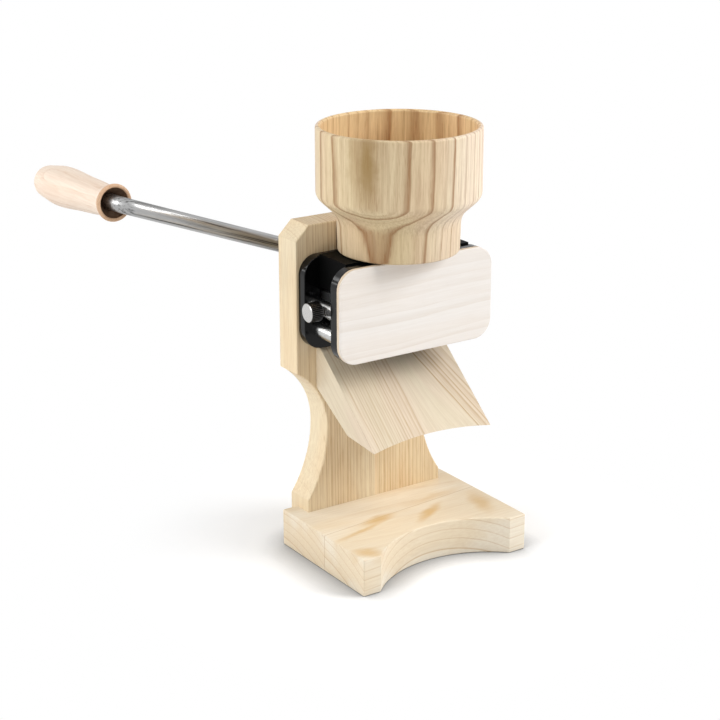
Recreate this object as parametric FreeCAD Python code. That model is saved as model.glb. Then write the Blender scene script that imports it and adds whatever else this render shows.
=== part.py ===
# Hand crank grain flaker: wooden stand, turned hopper, roller housing, chute and bent-rod crank.
# Millimetres. The origin is the centre of the base board's underside. +X is to the right, +Y is to the
# back, where the crank is, and +Z is up.
import FreeCAD, Part
import math
import os

# Base board
BASE_WIDTH = 125.0
BASE_DEPTH = 93.2
BASE_THICKNESS = 24.3
BASE_FRONT_LAND = 12.5        # flat part of the front edge, each side of the arc
BASE_FRONT_ARC_DEPTH = 20.3
WOOD_EDGE_ROUND = 0.9         # softened edges of the boards

# Upright post, let into a notch in the back edge of the base
POST_THICKNESS = 20.4
POST_LET_IN = 13.8            # how far the post goes into the base
POST_SIDE_MARGIN = 1.8        # upper part, past the housing's sides
POST_TOP_MARGIN = 18.2        # above the housing's top
POST_SHOULDER_DROP = 16.8     # from the housing's bottom to where the waist begins
POST_FOOT_SIDE_WALL = 10.9    # wood of the base beside the post's foot
POST_WAIST_WIDTH = 73.8
POST_WAIST_Z = 80.0
POST_FOOT_RISE = 8.1          # straight sides above the base's top
POST_CORNER_CUT = 9.3
JOINT_GAP = 0.1               # glue line round the post's foot

# Roller housing: two rounded plates with a gap between them
HOUSING_WIDTH = 114.2
HOUSING_HEIGHT = 59.6
HOUSING_BOTTOM_Z = 136.3
HOUSING_CORNER = 12.5
PLATE_THICKNESS = 7.0
PLATE_GAP = 28.8
PLATE_EDGE_ROUND = 0.5
COVER_THICKNESS = 3.0
COVER_EDGE_ROUND = 0.6

# Rollers
ROLLER_DIAMETER = 27.0
ROLLER_NIP = 0.4              # gap between the rollers when screwed shut
ROLLER_END_PLAY = 0.4         # between a roller's end and a plate
ROLLER_FLUTES = 32
ROLLER_FLUTE_RADIUS = 0.7
ROLLER_FLUTE_DEPTH = 0.35
IDLER_RISE = 29.8             # idler's axis above the housing's bottom
IDLER_AXLE_DIAMETER = 8.0
CARRIAGE_TRAVEL = 1.5         # how far the idler can be screwed away from the driven roller

# Crank: one round rod, bent twice
CRANK_AXIS_RISE = 38.1        # crank's axis above the housing's bottom
ROD_DIAMETER = 10.0
CRANK_RADIUS = 159.0
CRANK_RISE = 20.4             # degrees above level, to the left, as it stands
ARM_BEHIND_POST = 33.2        # arm's centreline behind the post's back face
SHAFT_BEND_RADIUS = 14.0
GRIP_BEND_RADIUS = 10.0
SHAFT_FRONT_GAP = 0.5         # between the shaft's front end and the cover
RUNNING_CLEARANCE = 0.05      # radial, round every turning shaft
SEAT_CLEARANCE = 0.02         # radial, where a part is fixed on a shaft
BUSH_WALL = 2.0
POST_BUSH_WALL = 3.0
POST_BUSH_FLANGE_REACH = 2.95  # flange past the bush's outside
POST_BUSH_FLANGE = 2.0

# Wooden grip, loose on the end of the rod
GRIP_DROOP = 2.9              # degrees that the end of the rod points down
GRIP_LENGTH = 99.7
GRIP_MOUTH_GAP = 2.4          # between the arm's side and the grip's mouth
GRIP_MOUTH_ROOM = 4.2         # round the rod
GRIP_BEAD = 2.1               # bead round the mouth
GRIP_NECK_WALL = 4.7          # this wall and the next two are measured from the rod's side
GRIP_MIDDLE_WALL = 6.6
GRIP_BULB_WALL = 7.7
GRIP_END_WALL = 1.0           # round the recess
GRIP_MOUTH_DEPTH = 3.0
GRIP_MOUTH_CONE = 5.5
GRIP_BORE_CLEARANCE = 0.08
GRIP_RECESS_CLEARANCE = 0.6   # round the washer
GRIP_RECESS_DEPTH = 7.0
GRIP_END_PLAY = 0.4
GRIP_WASHER_REACH = 1.0       # past the rod's side
GRIP_WASHER_THICKNESS = 1.2
GRIP_SCREW_HEAD_RADIUS = 4.5
GRIP_SCREW_HEAD = 2.8
GRIP_SCREW_LENGTH = 14.0

# Gap screw on the left, with its knurled knob
KNOB_DIAMETER = 12.4
KNOB_LENGTH = 8.6
KNOB_KNURLS = 30
KNOB_KNURL_RADIUS = 0.45
KNOB_EDGE = 0.7
SPINDLE_DIAMETER = 6.0
SPINDLE_TIP_DIAMETER = 4.0
SPINDLE_TIP_LENGTH = 2.2
KNOB_BAR_GAP = 0.5
BAR_DIAMETER = 10.0
SCREW_BAR_INSET = 6.6         # from the housing's side
TIE_BAR_INSET = 10.1
TIE_BAR_RISE = 13.2           # above the housing's bottom

# Carriage of the adjustable roller: a block in a window of each plate, and a yoke across them
BLOCK_HEIGHT = 15.6
BLOCK_REACH_RIGHT = 9.0       # from the idler's axis to the block's right side
BLOCK_SIDE_PLAY = 0.15        # above and below the block in its window
BLOCK_FACE_GAP = 0.3          # between the block and the cover or the post
YOKE_THICKNESS = 3.4
YOKE_ROLLER_GAP = 0.6
YOKE_HEIGHT = 14.0

# Feed block: leads the grain from the hopper to the nip
FEED_INSET = 11.1             # from the housing's sides
FEED_RISE = 1.05              # above the plates' tops
FEED_BLOCK_GAP = 2.1          # left half, above the carriage's blocks
FEED_RIGHT_DROP = 6.4         # right half, below the crank's axis
FEED_ROLLER_GAP = 0.7
FEED_RING_RADIUS = 15.0
FEED_RING_HEIGHT = 2.8
FEED_HOLE_RADIUS = 9.6
FEED_SLOT_LEFT = -27.0
FEED_SLOT_RIGHT = -7.0
FEED_SLOT_WALL = 1.8

# Turned hopper
HOPPER_AHEAD = 3.9            # hopper's axis in front of the middle of the gap
HOPPER_HEIGHT = 77.75
HOPPER_SEAT_GAP = 0.3
HOPPER_RIM_RADIUS = 50.9
HOPPER_WALL = 3.4
HOPPER_NECK_RADIUS = 37.7
HOPPER_NECK_TOP_RADIUS = 38.3
HOPPER_FLARE_BOTTOM = 22.95   # this height and the next three are above the hopper's bottom
HOPPER_FLARE_TOP = 34.65
HOPPER_CONE_TOP = 41.75
HOPPER_CONE_BOTTOM = 7.75
HOPPER_NECK_FILLET = 13.0
HOPPER_SHOULDER_FILLET = 7.0
HOPPER_BOTTOM_ROUND = 1.4
HOPPER_OUTLET_RADIUS = 10.0
HOPPER_RECESS_CLEARANCE = 0.3
HOPPER_POST_CLEARANCE = 0.6

# Chute: a wedge of board with a sharp, slightly hollow lip
CHUTE_WIDTH = 89.2
CHUTE_REACH = 64.2            # lip in front of the post
CHUTE_LIP_DROP = 52.2         # lip below the housing
CHUTE_SLOPE = 40.7            # degrees, upper face
CHUTE_HEEL_REACH = 35.2       # where the flat underside ends, in front of the post
CHUTE_HEEL_DROP = 49.5
CHUTE_BACK_DROP = 27.8        # lowest place on the post
CHUTE_TOP_GAP = 0.3           # under the housing
CHUTE_LIP_HOLLOW = 2.8

# Fasteners
BOLT_RADIUS = 3.0
BOLT_HEAD_RADIUS = 5.0
BOLT_HEAD_LENGTH = 6.0
BOLT_SOCKET_RADIUS = 2.6
BOLT_SOCKET_DEPTH = 3.0
BOLT_BITE = 11.0              # into the tie bars and the feed block
BOLT_HOLE_CLEARANCE = 0.2
COUNTERBORE_CLEARANCE = 0.6
WASHER_RADIUS = 5.5
WASHER_THICKNESS = 1.0
FEED_BOLT_INSET = 8.0         # from the feed block's sides
FEED_BOLT_DROP = 9.9          # below the housing's top
PLATE_SCREW_RADIUS = 2.0
PLATE_SCREW_HEAD_RADIUS = 4.0
PLATE_SCREW_LENGTH = 15.0
WOOD_SCREW_RADIUS = 2.0
WOOD_SCREW_HEAD_RADIUS = 4.2
WOOD_SCREW_BITE = 17.9        # past the post, in the wood in front of it
WOOD_SCREW_TIP = 5.0
SCREW_SINK = 0.3              # heads stand this far below the face
DRIVE_SLOT_WIDTH = 1.2
DRIVE_SLOT_DEPTH = 1.0
SET_SCREW_RADIUS = 2.5
SET_SCREW_SINK = 1.5          # below the roller's outside

# Places worked out from the sizes above
POST_FRONT_Y = BASE_DEPTH / 2 - POST_LET_IN
POST_BACK_Y = POST_FRONT_Y + POST_THICKNESS
BACK_PLATE_Y = POST_FRONT_Y - PLATE_THICKNESS
GAP_FRONT_Y = BACK_PLATE_Y - PLATE_GAP
FRONT_PLATE_Y = GAP_FRONT_Y - PLATE_THICKNESS
COVER_Y = FRONT_PLATE_Y - COVER_THICKNESS
GAP_MIDDLE_Y = GAP_FRONT_Y + PLATE_GAP / 2
HOUSING_TOP_Z = HOUSING_BOTTOM_Z + HOUSING_HEIGHT
CRANK_Z = HOUSING_BOTTOM_Z + CRANK_AXIS_RISE
IDLER_Z = HOUSING_BOTTOM_Z + IDLER_RISE
TIE_BAR_X = HOUSING_WIDTH / 2 - TIE_BAR_INSET
TIE_BAR_Z = HOUSING_BOTTOM_Z + TIE_BAR_RISE
SCREW_BAR_X = SCREW_BAR_INSET - HOUSING_WIDTH / 2
POST_WIDTH = HOUSING_WIDTH + 2 * POST_SIDE_MARGIN
POST_FOOT_WIDTH = BASE_WIDTH - 2 * POST_FOOT_SIDE_WALL
POST_HEIGHT = HOUSING_TOP_Z + POST_TOP_MARGIN
POST_SHOULDER_Z = HOUSING_BOTTOM_Z - POST_SHOULDER_DROP
WOOD_SCREW_LENGTH = POST_THICKNESS - SCREW_SINK + WOOD_SCREW_BITE
ROLLER_RADIUS = ROLLER_DIAMETER / 2
ROD_RADIUS = ROD_DIAMETER / 2
AXLE_RADIUS = IDLER_AXLE_DIAMETER / 2
BAR_RADIUS = BAR_DIAMETER / 2
IDLER_X = -math.sqrt((ROLLER_DIAMETER + ROLLER_NIP) ** 2 - (CRANK_Z - IDLER_Z) ** 2)
YOKE_RIGHT_X = IDLER_X - ROLLER_RADIUS - YOKE_ROLLER_GAP
YOKE_LEFT_X = YOKE_RIGHT_X - YOKE_THICKNESS
KNOB_RIGHT_X = SCREW_BAR_X - BAR_RADIUS - KNOB_BAR_GAP
KNOB_LEFT_X = KNOB_RIGHT_X - KNOB_LENGTH
FEED_HALF_WIDTH = HOUSING_WIDTH / 2 - FEED_INSET
FEED_BOLT_X = FEED_HALF_WIDTH - FEED_BOLT_INSET
FEED_BOLT_Z = HOUSING_TOP_Z - FEED_BOLT_DROP
FEED_TOP_Z = HOUSING_TOP_Z + FEED_RISE
FEED_LEFT_BOTTOM_Z = IDLER_Z + BLOCK_HEIGHT / 2 + FEED_BLOCK_GAP
FEED_RIGHT_BOTTOM_Z = CRANK_Z - FEED_RIGHT_DROP
HOPPER_Y = GAP_MIDDLE_Y - HOPPER_AHEAD
HOPPER_BOTTOM_Z = FEED_TOP_Z + HOPPER_SEAT_GAP
CHUTE_LIP_Y = POST_FRONT_Y - CHUTE_REACH
CHUTE_LIP_Z = HOUSING_BOTTOM_Z - CHUTE_LIP_DROP
CHUTE_HEEL_Y = POST_FRONT_Y - CHUTE_HEEL_REACH
CHUTE_HEEL_Z = HOUSING_BOTTOM_Z - CHUTE_HEEL_DROP
CHUTE_BACK_BOTTOM_Z = HOUSING_BOTTOM_Z - CHUTE_BACK_DROP
ARM_Y = POST_BACK_Y + ARM_BEHIND_POST
GRIP_MOUTH_RADIUS = ROD_RADIUS + GRIP_MOUTH_ROOM
GRIP_COLLAR_RADIUS = GRIP_MOUTH_RADIUS + GRIP_BEAD
GRIP_NECK_RADIUS = ROD_RADIUS + GRIP_NECK_WALL
GRIP_MIDDLE_RADIUS = ROD_RADIUS + GRIP_MIDDLE_WALL
GRIP_BULB_RADIUS = ROD_RADIUS + GRIP_BULB_WALL
GRIP_WASHER_RADIUS = ROD_RADIUS + GRIP_WASHER_REACH
GRIP_RECESS_RADIUS = GRIP_WASHER_RADIUS + GRIP_RECESS_CLEARANCE
GRIP_END_RADIUS = GRIP_RECESS_RADIUS + GRIP_END_WALL

X_AXIS = FreeCAD.Vector(1, 0, 0)
Y_AXIS = FreeCAD.Vector(0, 1, 0)
Z_AXIS = FreeCAD.Vector(0, 0, 1)


def vec(x, y, z):
    return FreeCAD.Vector(x, y, z)


def block(x0, x1, y0, y1, z0, z1):
    """A box between two corners."""
    return Part.makeBox(x1 - x0, y1 - y0, z1 - z0, vec(x0, y0, z0))


def rod_between(start, direction, radius, length):
    """A cylinder from start along direction."""
    return Part.makeCylinder(radius, length, start, direction)


def rod_y(x, z, y0, y1, radius):
    """A cylinder along Y."""
    return rod_between(vec(x, y0, z), Y_AXIS, radius, y1 - y0)


def rounded_outline(points, radii, place):
    """A closed wire through 2-D points, each corner rounded by its own radius. place makes a 3-D point."""
    count = len(points)
    edges, ends = [], []
    for i in range(count):
        before, at, after = (FreeCAD.Vector(*points[(i + k) % count], 0) for k in (-1, 0, 1))
        to_before, to_after = (before - at).normalize(), (after - at).normalize()
        if radii[i] == 0:
            ends.append((at, None, at))
            continue
        half = to_before.getAngle(to_after) / 2
        run = radii[i] / math.tan(half)
        centre = at + (to_before + to_after).normalize() * (radii[i] / math.sin(half))
        middle = centre + (at - centre).normalize() * radii[i]
        ends.append((at + to_before * run, middle, at + to_after * run))
    for i, (start, middle, end) in enumerate(ends):
        if middle is not None:
            edges.append(Part.Arc(place(start), place(middle), place(end)).toShape())
        following = ends[(i + 1) % count][0]
        if (following - end).Length > 1e-6:
            edges.append(Part.makeLine(place(end), place(following)))
    return Part.Wire(edges)


def in_xz(y):
    """Puts a 2-D outline point (x, z) in the plane at y."""
    return lambda p: vec(p.x, y, p.y)


def plate_xz(points, radii, y0, y1):
    """A flat board with its outline in XZ, from y0 to y1."""
    return Part.Face(rounded_outline(points, radii, in_xz(y0))).extrude(vec(0, y1 - y0, 0))


def turned(points, radii, start, axis):
    """A solid of revolution. points are (radius, distance along axis from start)."""
    out = X_AXIS if abs(axis.x) < 0.9 else Z_AXIS
    out = (out - axis * out.dot(axis)).normalize()
    wire = rounded_outline(points, radii, lambda p: start + out * p.x + axis * p.y)
    return Part.Face(wire).revolve(start, axis, 360)


def soften(shape, radius, wanted):
    """Rounds the straight and curved edges for which wanted(edge's box) is true."""
    edges = [edge for edge in shape.Edges if wanted(edge.BoundBox)]
    return shape.makeFillet(radius, edges)


def on_plane(low, high, value):
    """True if an edge's range along one axis lies at one value."""
    return abs(low - value) < 1e-4 and abs(high - value) < 1e-4


def faces_front_or_back(y0, y1):
    """Picks the edges that lie in the plane y0 or y1."""
    return lambda b: on_plane(b.YMin, b.YMax, y0) or on_plane(b.YMin, b.YMax, y1)


def countersunk(head_at, direction, radius, head_radius, length, tip):
    """A flat-headed screw with a straight slot, its head's face at head_at."""
    cone = head_radius - radius
    outline = [(0, 0), (head_radius, 0), (radius, cone), (radius, length - tip), (0, length)]
    if tip == 0:
        outline = [(0, 0), (head_radius, 0), (radius, cone), (radius, length), (0, length)]
    body = turned(outline, [0] * 5, head_at, direction)
    slot = Part.makeBox(3 * head_radius, DRIVE_SLOT_WIDTH, 2 * DRIVE_SLOT_DEPTH)
    slot.translate(vec(-1.5 * head_radius, -DRIVE_SLOT_WIDTH / 2, -DRIVE_SLOT_DEPTH))
    slot.Placement = FreeCAD.Placement(head_at, FreeCAD.Rotation(Z_AXIS, direction)).multiply(slot.Placement)
    return body.cut(slot)


def save(node, shapes):
    """Writes one node's solids to parts/."""
    solids = shapes if isinstance(shapes, list) else [shapes]
    shape = solids[0] if len(solids) == 1 else Part.makeCompound(solids)
    if not shape.isValid():
        raise ValueError(node + " isn't valid")
    shape.exportStep("parts/" + node + ".step")
    print(node, len(shape.Solids), round(shape.Volume / 1000, 2), "cm3")


def waist_side(side, y):
    """The waist's two arcs on one side of the post, from the shoulder down to the foot."""
    waist, foot_z = POST_WAIST_WIDTH / 2, BASE_THICKNESS + POST_FOOT_RISE
    edges = []
    for end_x, end_z in ((POST_WIDTH / 2, POST_SHOULDER_Z), (POST_FOOT_WIDTH / 2, foot_z)):
        out, away = end_x - waist, end_z - POST_WAIST_Z
        radius = (out ** 2 + away ** 2) / (2 * out)
        half = math.asin(abs(away) / radius) / 2
        middle_x = waist + radius * (1 - math.cos(half))
        middle_z = POST_WAIST_Z + math.copysign(radius * math.sin(half), away)
        points = [(end_x, end_z), (middle_x, middle_z), (waist, POST_WAIST_Z)]
        edges.append(Part.Arc(*[vec(side * x, y, z) for x, z in points]).toShape())
    return edges


def make_post():
    """The upright, with its waist, its cut corners and the hollow that takes the hopper's neck."""
    y, wide, foot = POST_FRONT_Y, POST_WIDTH / 2, POST_FOOT_WIDTH / 2
    foot_z, cut = BASE_THICKNESS + POST_FOOT_RISE, POST_CORNER_CUT
    top = [(-wide, POST_SHOULDER_Z), (-wide, POST_HEIGHT - cut), (-wide + cut, POST_HEIGHT)]
    top += [(-x, z) for x, z in reversed(top)]
    low = [(foot, foot_z), (foot, 0), (-foot, 0), (-foot, foot_z)]
    edges = waist_side(1, y) + waist_side(-1, y)
    for line in (top, low):
        edges += [Part.makeLine(vec(a[0], y, a[1]), vec(b[0], y, b[1])) for a, b in zip(line, line[1:])]
    wire = Part.Wire(Part.__sortEdges__(edges))
    post = Part.Face(wire).extrude(vec(0, POST_THICKNESS, 0))

    def above_the_base(b):
        return faces_front_or_back(y, POST_BACK_Y)(b) and b.ZMax > BASE_THICKNESS + POST_FOOT_RISE + 0.01

    post = soften(post, WOOD_EDGE_ROUND, above_the_base)
    neck_radius = HOPPER_NECK_TOP_RADIUS + HOPPER_POST_CLEARANCE
    neck_bottom = vec(0, HOPPER_Y, HOUSING_TOP_Z)
    post = post.cut(rod_between(neck_bottom, Z_AXIS, neck_radius, POST_HEIGHT))
    bush_radius = ROD_RADIUS + RUNNING_CLEARANCE + POST_BUSH_WALL
    return post.cut(rod_y(0, CRANK_Z, y - 1, POST_BACK_Y + 1, bush_radius))


def make_base():
    """The base board, with the arc in its front edge and the notch for the post."""
    half, front, back = BASE_WIDTH / 2, -BASE_DEPTH / 2, BASE_DEPTH / 2
    arc_x, foot = half - BASE_FRONT_LAND, POST_FOOT_WIDTH / 2 + JOINT_GAP
    notch_y = POST_FRONT_Y - JOINT_GAP
    corners = [(arc_x, front), (half, front), (half, back), (foot, back), (foot, notch_y)]
    corners += [(-x, y) for x, y in reversed(corners)]
    edges = [Part.makeLine(vec(a[0], a[1], 0), vec(b[0], b[1], 0)) for a, b in zip(corners, corners[1:])]
    arc = Part.Arc(vec(-arc_x, front, 0), vec(0, front + BASE_FRONT_ARC_DEPTH, 0), vec(arc_x, front, 0))
    board = Part.Face(Part.Wire(edges + [arc.toShape()])).extrude(vec(0, 0, BASE_THICKNESS))

    def outer_rim(b):
        level = on_plane(b.ZMin, b.ZMax, BASE_THICKNESS) or on_plane(b.ZMin, b.ZMax, 0)
        upright = b.ZLength > 1 and abs(b.XMin) > foot + 1
        notch = abs(b.XMin) <= foot + 0.01 and abs(b.XMax) <= foot + 0.01 and b.YMin > notch_y - 0.01
        return (level and not notch) or upright

    return soften(board, WOOD_EDGE_ROUND, outer_rim)


def make_chute():
    """The board that leads the flakes forward. Its underside is hollowed, which gives the lip its arc."""
    slope = math.tan(math.radians(CHUTE_SLOPE))
    top_z = HOUSING_BOTTOM_Z - CHUTE_TOP_GAP
    top_y = CHUTE_LIP_Y + (top_z - CHUTE_LIP_Z) / slope
    side = [(CHUTE_LIP_Y, CHUTE_LIP_Z), (top_y, top_z), (POST_FRONT_Y, top_z)]
    side += [(POST_FRONT_Y, CHUTE_BACK_BOTTOM_Z), (CHUTE_HEEL_Y, CHUTE_HEEL_Z)]
    half = CHUTE_WIDTH / 2
    wire = Part.makePolygon([vec(-half, y, z) for y, z in side + side[:1]])
    board = Part.Face(wire).extrude(vec(CHUTE_WIDTH, 0, 0))
    radius = (half ** 2 + CHUTE_LIP_HOLLOW ** 2) / (2 * CHUTE_LIP_HOLLOW)
    along = vec(0, CHUTE_HEEL_Y - CHUTE_LIP_Y, CHUTE_HEEL_Z - CHUTE_LIP_Z).normalize()
    down = along.cross(X_AXIS).normalize()
    if down.z > 0:
        down = down * -1
    centre = vec(0, CHUTE_LIP_Y, CHUTE_LIP_Z) + down * (radius - CHUTE_LIP_HOLLOW)
    hollow = rod_between(centre - along * half, along, radius, 2 * CHUTE_WIDTH)
    board = board.cut(hollow)

    def upper_sides(b):
        steep = b.ZLength > 20 and b.XLength < 0.01 and b.ZMax > top_z - 0.01 and b.YMin < CHUTE_LIP_Y + 1
        return steep

    return soften(board, WOOD_EDGE_ROUND / 2, upper_sides)


def housing_outline():
    half, low, high = HOUSING_WIDTH / 2, HOUSING_BOTTOM_Z, HOUSING_TOP_Z
    return [(-half, low), (half, low), (half, high), (-half, high)]


def housing_bolts():
    """Where each long bolt goes: (x, z, the y where its thread ends)."""
    bite_end = BACK_PLATE_Y - BOLT_BITE
    spots = [(side * TIE_BAR_X, TIE_BAR_Z, bite_end) for side in (-1, 1)]
    return spots + [(side * FEED_BOLT_X, FEED_BOLT_Z, bite_end) for side in (-1, 1)]


def make_bolt(x, z, end_y):
    """A socket-head bolt from the post's back."""
    head_y = POST_BACK_Y - SCREW_SINK
    under_head = head_y - BOLT_HEAD_LENGTH
    bolt = rod_y(x, z, end_y, under_head, BOLT_RADIUS).fuse(rod_y(x, z, under_head, head_y, BOLT_HEAD_RADIUS))
    turns = [math.radians(60 * k) for k in range(7)]
    hexagon = [(x + BOLT_SOCKET_RADIUS * math.cos(a), z + BOLT_SOCKET_RADIUS * math.sin(a)) for a in turns]
    ring = Part.makePolygon([vec(hex_x, head_y, hex_z) for hex_x, hex_z in hexagon])
    socket = Part.Face(ring).extrude(vec(0, -BOLT_SOCKET_DEPTH, 0))
    return bolt.cut(socket)


def make_washer(x, z):
    y1 = POST_BACK_Y - SCREW_SINK - BOLT_HEAD_LENGTH
    y0 = y1 - WASHER_THICKNESS
    hole = rod_y(x, z, y0 - 1, y1 + 1, BOLT_RADIUS + BOLT_HOLE_CLEARANCE)
    return rod_y(x, z, y0, y1, WASHER_RADIUS).cut(hole)


def bolt_holes(shape):
    """Clearance holes and counterbores for the long bolts."""
    bore_floor = POST_BACK_Y - SCREW_SINK - BOLT_HEAD_LENGTH - WASHER_THICKNESS
    for x, z, _ in housing_bolts():
        shape = shape.cut(rod_y(x, z, BACK_PLATE_Y - 1, POST_BACK_Y + 1, BOLT_RADIUS + BOLT_HOLE_CLEARANCE))
        shape = shape.cut(rod_y(x, z, bore_floor, POST_BACK_Y + 1, WASHER_RADIUS + COUNTERBORE_CLEARANCE))
    return shape


def wood_screw_spots():
    """Into the base through the post's foot, and into the chute."""
    base_z, chute_z = BASE_THICKNESS / 2, (CHUTE_BACK_BOTTOM_Z + HOUSING_BOTTOM_Z) / 2
    foot_x, chute_x = POST_FOOT_WIDTH / 3, CHUTE_WIDTH / 4
    return [(-foot_x, base_z), (0, base_z), (foot_x, base_z), (-chute_x, chute_z), (chute_x, chute_z)]


def make_wood_screw(x, z):
    at = vec(x, POST_BACK_Y - SCREW_SINK, z)
    size = (WOOD_SCREW_RADIUS, WOOD_SCREW_HEAD_RADIUS, WOOD_SCREW_LENGTH, WOOD_SCREW_TIP)
    return countersunk(at, Y_AXIS * -1, *size)


def wood_screw_holes(shape):
    for x, z in wood_screw_spots():
        cone = WOOD_SCREW_HEAD_RADIUS - WOOD_SCREW_RADIUS
        at = vec(x, POST_BACK_Y - SCREW_SINK, z)
        outline = [(0, -1), (WOOD_SCREW_HEAD_RADIUS, -1), (WOOD_SCREW_HEAD_RADIUS, 0)]
        outline += [(WOOD_SCREW_RADIUS, cone), (WOOD_SCREW_RADIUS, WOOD_SCREW_LENGTH - WOOD_SCREW_TIP)]
        outline += [(0, WOOD_SCREW_LENGTH)]
        shape = shape.cut(turned(outline, [0] * 6, at, Y_AXIS * -1))
    return shape


def plate_screw_spots():
    """(x, z) of the flat-headed screws in the front plate. The first one is also in the back plate."""
    spots = [(SCREW_BAR_X, IDLER_Z)]
    spots += [(side * TIE_BAR_X, TIE_BAR_Z) for side in (-1, 1)]
    return spots + [(side * FEED_BOLT_X, FEED_BOLT_Z) for side in (-1, 1)]


def make_plate_screws():
    size = (PLATE_SCREW_RADIUS, PLATE_SCREW_HEAD_RADIUS, PLATE_SCREW_LENGTH, 0)
    y = FRONT_PLATE_Y + SCREW_SINK
    screws = [countersunk(vec(x, y, z), Y_AXIS, *size) for x, z in plate_screw_spots()]
    x, z = plate_screw_spots()[0]
    return screws + [countersunk(vec(x, POST_FRONT_Y - SCREW_SINK, z), Y_AXIS * -1, *size)]


def plate_screw_holes(shape, screws):
    """Sinks for the heads and holes for the threads, cut with the screws' own outlines."""
    for screw in screws:
        box = screw.BoundBox
        x, z = box.Center.x, box.Center.z
        front = box.YMin < GAP_FRONT_Y
        face = FRONT_PLATE_Y if front else POST_FRONT_Y
        direction = Y_AXIS if front else Y_AXIS * -1
        cone_end = SCREW_SINK + PLATE_SCREW_HEAD_RADIUS - PLATE_SCREW_RADIUS
        hole_end = SCREW_SINK + PLATE_SCREW_LENGTH
        outline = [(0, -1), (PLATE_SCREW_HEAD_RADIUS, -1), (PLATE_SCREW_HEAD_RADIUS, SCREW_SINK)]
        outline += [(PLATE_SCREW_RADIUS, cone_end), (PLATE_SCREW_RADIUS, hole_end), (0, hole_end)]
        shape = shape.cut(turned(outline, [0] * 6, vec(x, face, z), direction))
    return shape


def make_plate(y0):
    """One of the two housing plates: bush hole for the crank's shaft and window for the carriage."""
    y1 = y0 + PLATE_THICKNESS
    plate = plate_xz(housing_outline(), [HOUSING_CORNER] * 4, y0, y1)
    plate = soften(plate, PLATE_EDGE_ROUND, faces_front_or_back(y0, y1))
    bush_radius = ROD_RADIUS + RUNNING_CLEARANCE + BUSH_WALL
    plate = plate.cut(rod_y(0, CRANK_Z, y0 - 1, y1 + 1, bush_radius))
    left = YOKE_LEFT_X - CARRIAGE_TRAVEL - BLOCK_FACE_GAP
    right = IDLER_X + BLOCK_REACH_RIGHT + BLOCK_SIDE_PLAY
    half = BLOCK_HEIGHT / 2 + BLOCK_SIDE_PLAY
    return plate.cut(block(left, right, y0 - 1, y1 + 1, IDLER_Z - half, IDLER_Z + half))


def make_cover():
    y0, y1 = COVER_Y, FRONT_PLATE_Y
    cover = plate_xz(housing_outline(), [HOUSING_CORNER] * 4, y0, y1)
    return soften(cover, COVER_EDGE_ROUND, lambda b: on_plane(b.YMin, b.YMax, y0))


def make_bush(y0):
    outer = rod_y(0, CRANK_Z, y0, y0 + PLATE_THICKNESS, ROD_RADIUS + RUNNING_CLEARANCE + BUSH_WALL)
    return outer.cut(rod_y(0, CRANK_Z, y0 - 1, y0 + PLATE_THICKNESS + 1, ROD_RADIUS + RUNNING_CLEARANCE))


def make_post_bush():
    """Flanged bush in the post, its flange on the post's back."""
    inner = ROD_RADIUS + RUNNING_CLEARANCE
    outer = inner + POST_BUSH_WALL
    end = POST_BACK_Y + POST_BUSH_FLANGE
    sleeve = rod_y(0, CRANK_Z, POST_FRONT_Y, end, outer)
    flange = rod_y(0, CRANK_Z, POST_BACK_Y, end, outer + POST_BUSH_FLANGE_REACH)
    return sleeve.fuse(flange).cut(rod_y(0, CRANK_Z, POST_FRONT_Y - 1, end + 1, inner)).removeSplitter()


def make_roller(x, z, bore_radius, first_flute):
    """A fluted steel roller. first_flute is the angle, in degrees, of one flute."""
    y0, y1 = GAP_FRONT_Y + ROLLER_END_PLAY, BACK_PLATE_Y - ROLLER_END_PLAY
    roller = rod_y(x, z, y0, y1, ROLLER_RADIUS)
    edges = [edge for edge in roller.Edges if edge.BoundBox.YLength < 0.01]
    roller = roller.makeChamfer(ROLLER_FLUTE_DEPTH, edges)
    flute_centre = ROLLER_RADIUS + ROLLER_FLUTE_RADIUS - ROLLER_FLUTE_DEPTH
    flutes = []
    for k in range(ROLLER_FLUTES):
        angle = math.radians(first_flute + 360.0 * k / ROLLER_FLUTES)
        flute_x, flute_z = x + flute_centre * math.cos(angle), z + flute_centre * math.sin(angle)
        flutes.append(rod_y(flute_x, flute_z, y0 - 1, y1 + 1, ROLLER_FLUTE_RADIUS))
    return roller.cut(flutes).cut(rod_y(x, z, y0 - 1, y1 + 1, bore_radius))


def set_screw_hole(radius, start, end):
    """A cylinder out from the crank's axis to the right, for the driven roller's set screw."""
    return rod_between(vec(start, GAP_MIDDLE_Y, CRANK_Z), X_AXIS, radius, end - start)


def make_set_screw():
    end = ROLLER_RADIUS - SET_SCREW_SINK
    screw = set_screw_hole(SET_SCREW_RADIUS, ROD_RADIUS + SEAT_CLEARANCE, end)
    return screw.cut(set_screw_hole(SET_SCREW_RADIUS / 2, end - DRIVE_SLOT_DEPTH * 2, end + 1))


def bar(x, z):
    return rod_y(x, z, GAP_FRONT_Y, BACK_PLATE_Y, BAR_RADIUS)


def make_screw_bar():
    """The tie bar that the gap screw goes through."""
    hole_radius = SPINDLE_DIAMETER / 2 + RUNNING_CLEARANCE
    start = vec(SCREW_BAR_X - BAR_DIAMETER, GAP_MIDDLE_Y, IDLER_Z)
    hole = rod_between(start, X_AXIS, hole_radius, 2 * BAR_DIAMETER)
    return bar(SCREW_BAR_X, IDLER_Z).cut(hole)


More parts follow.
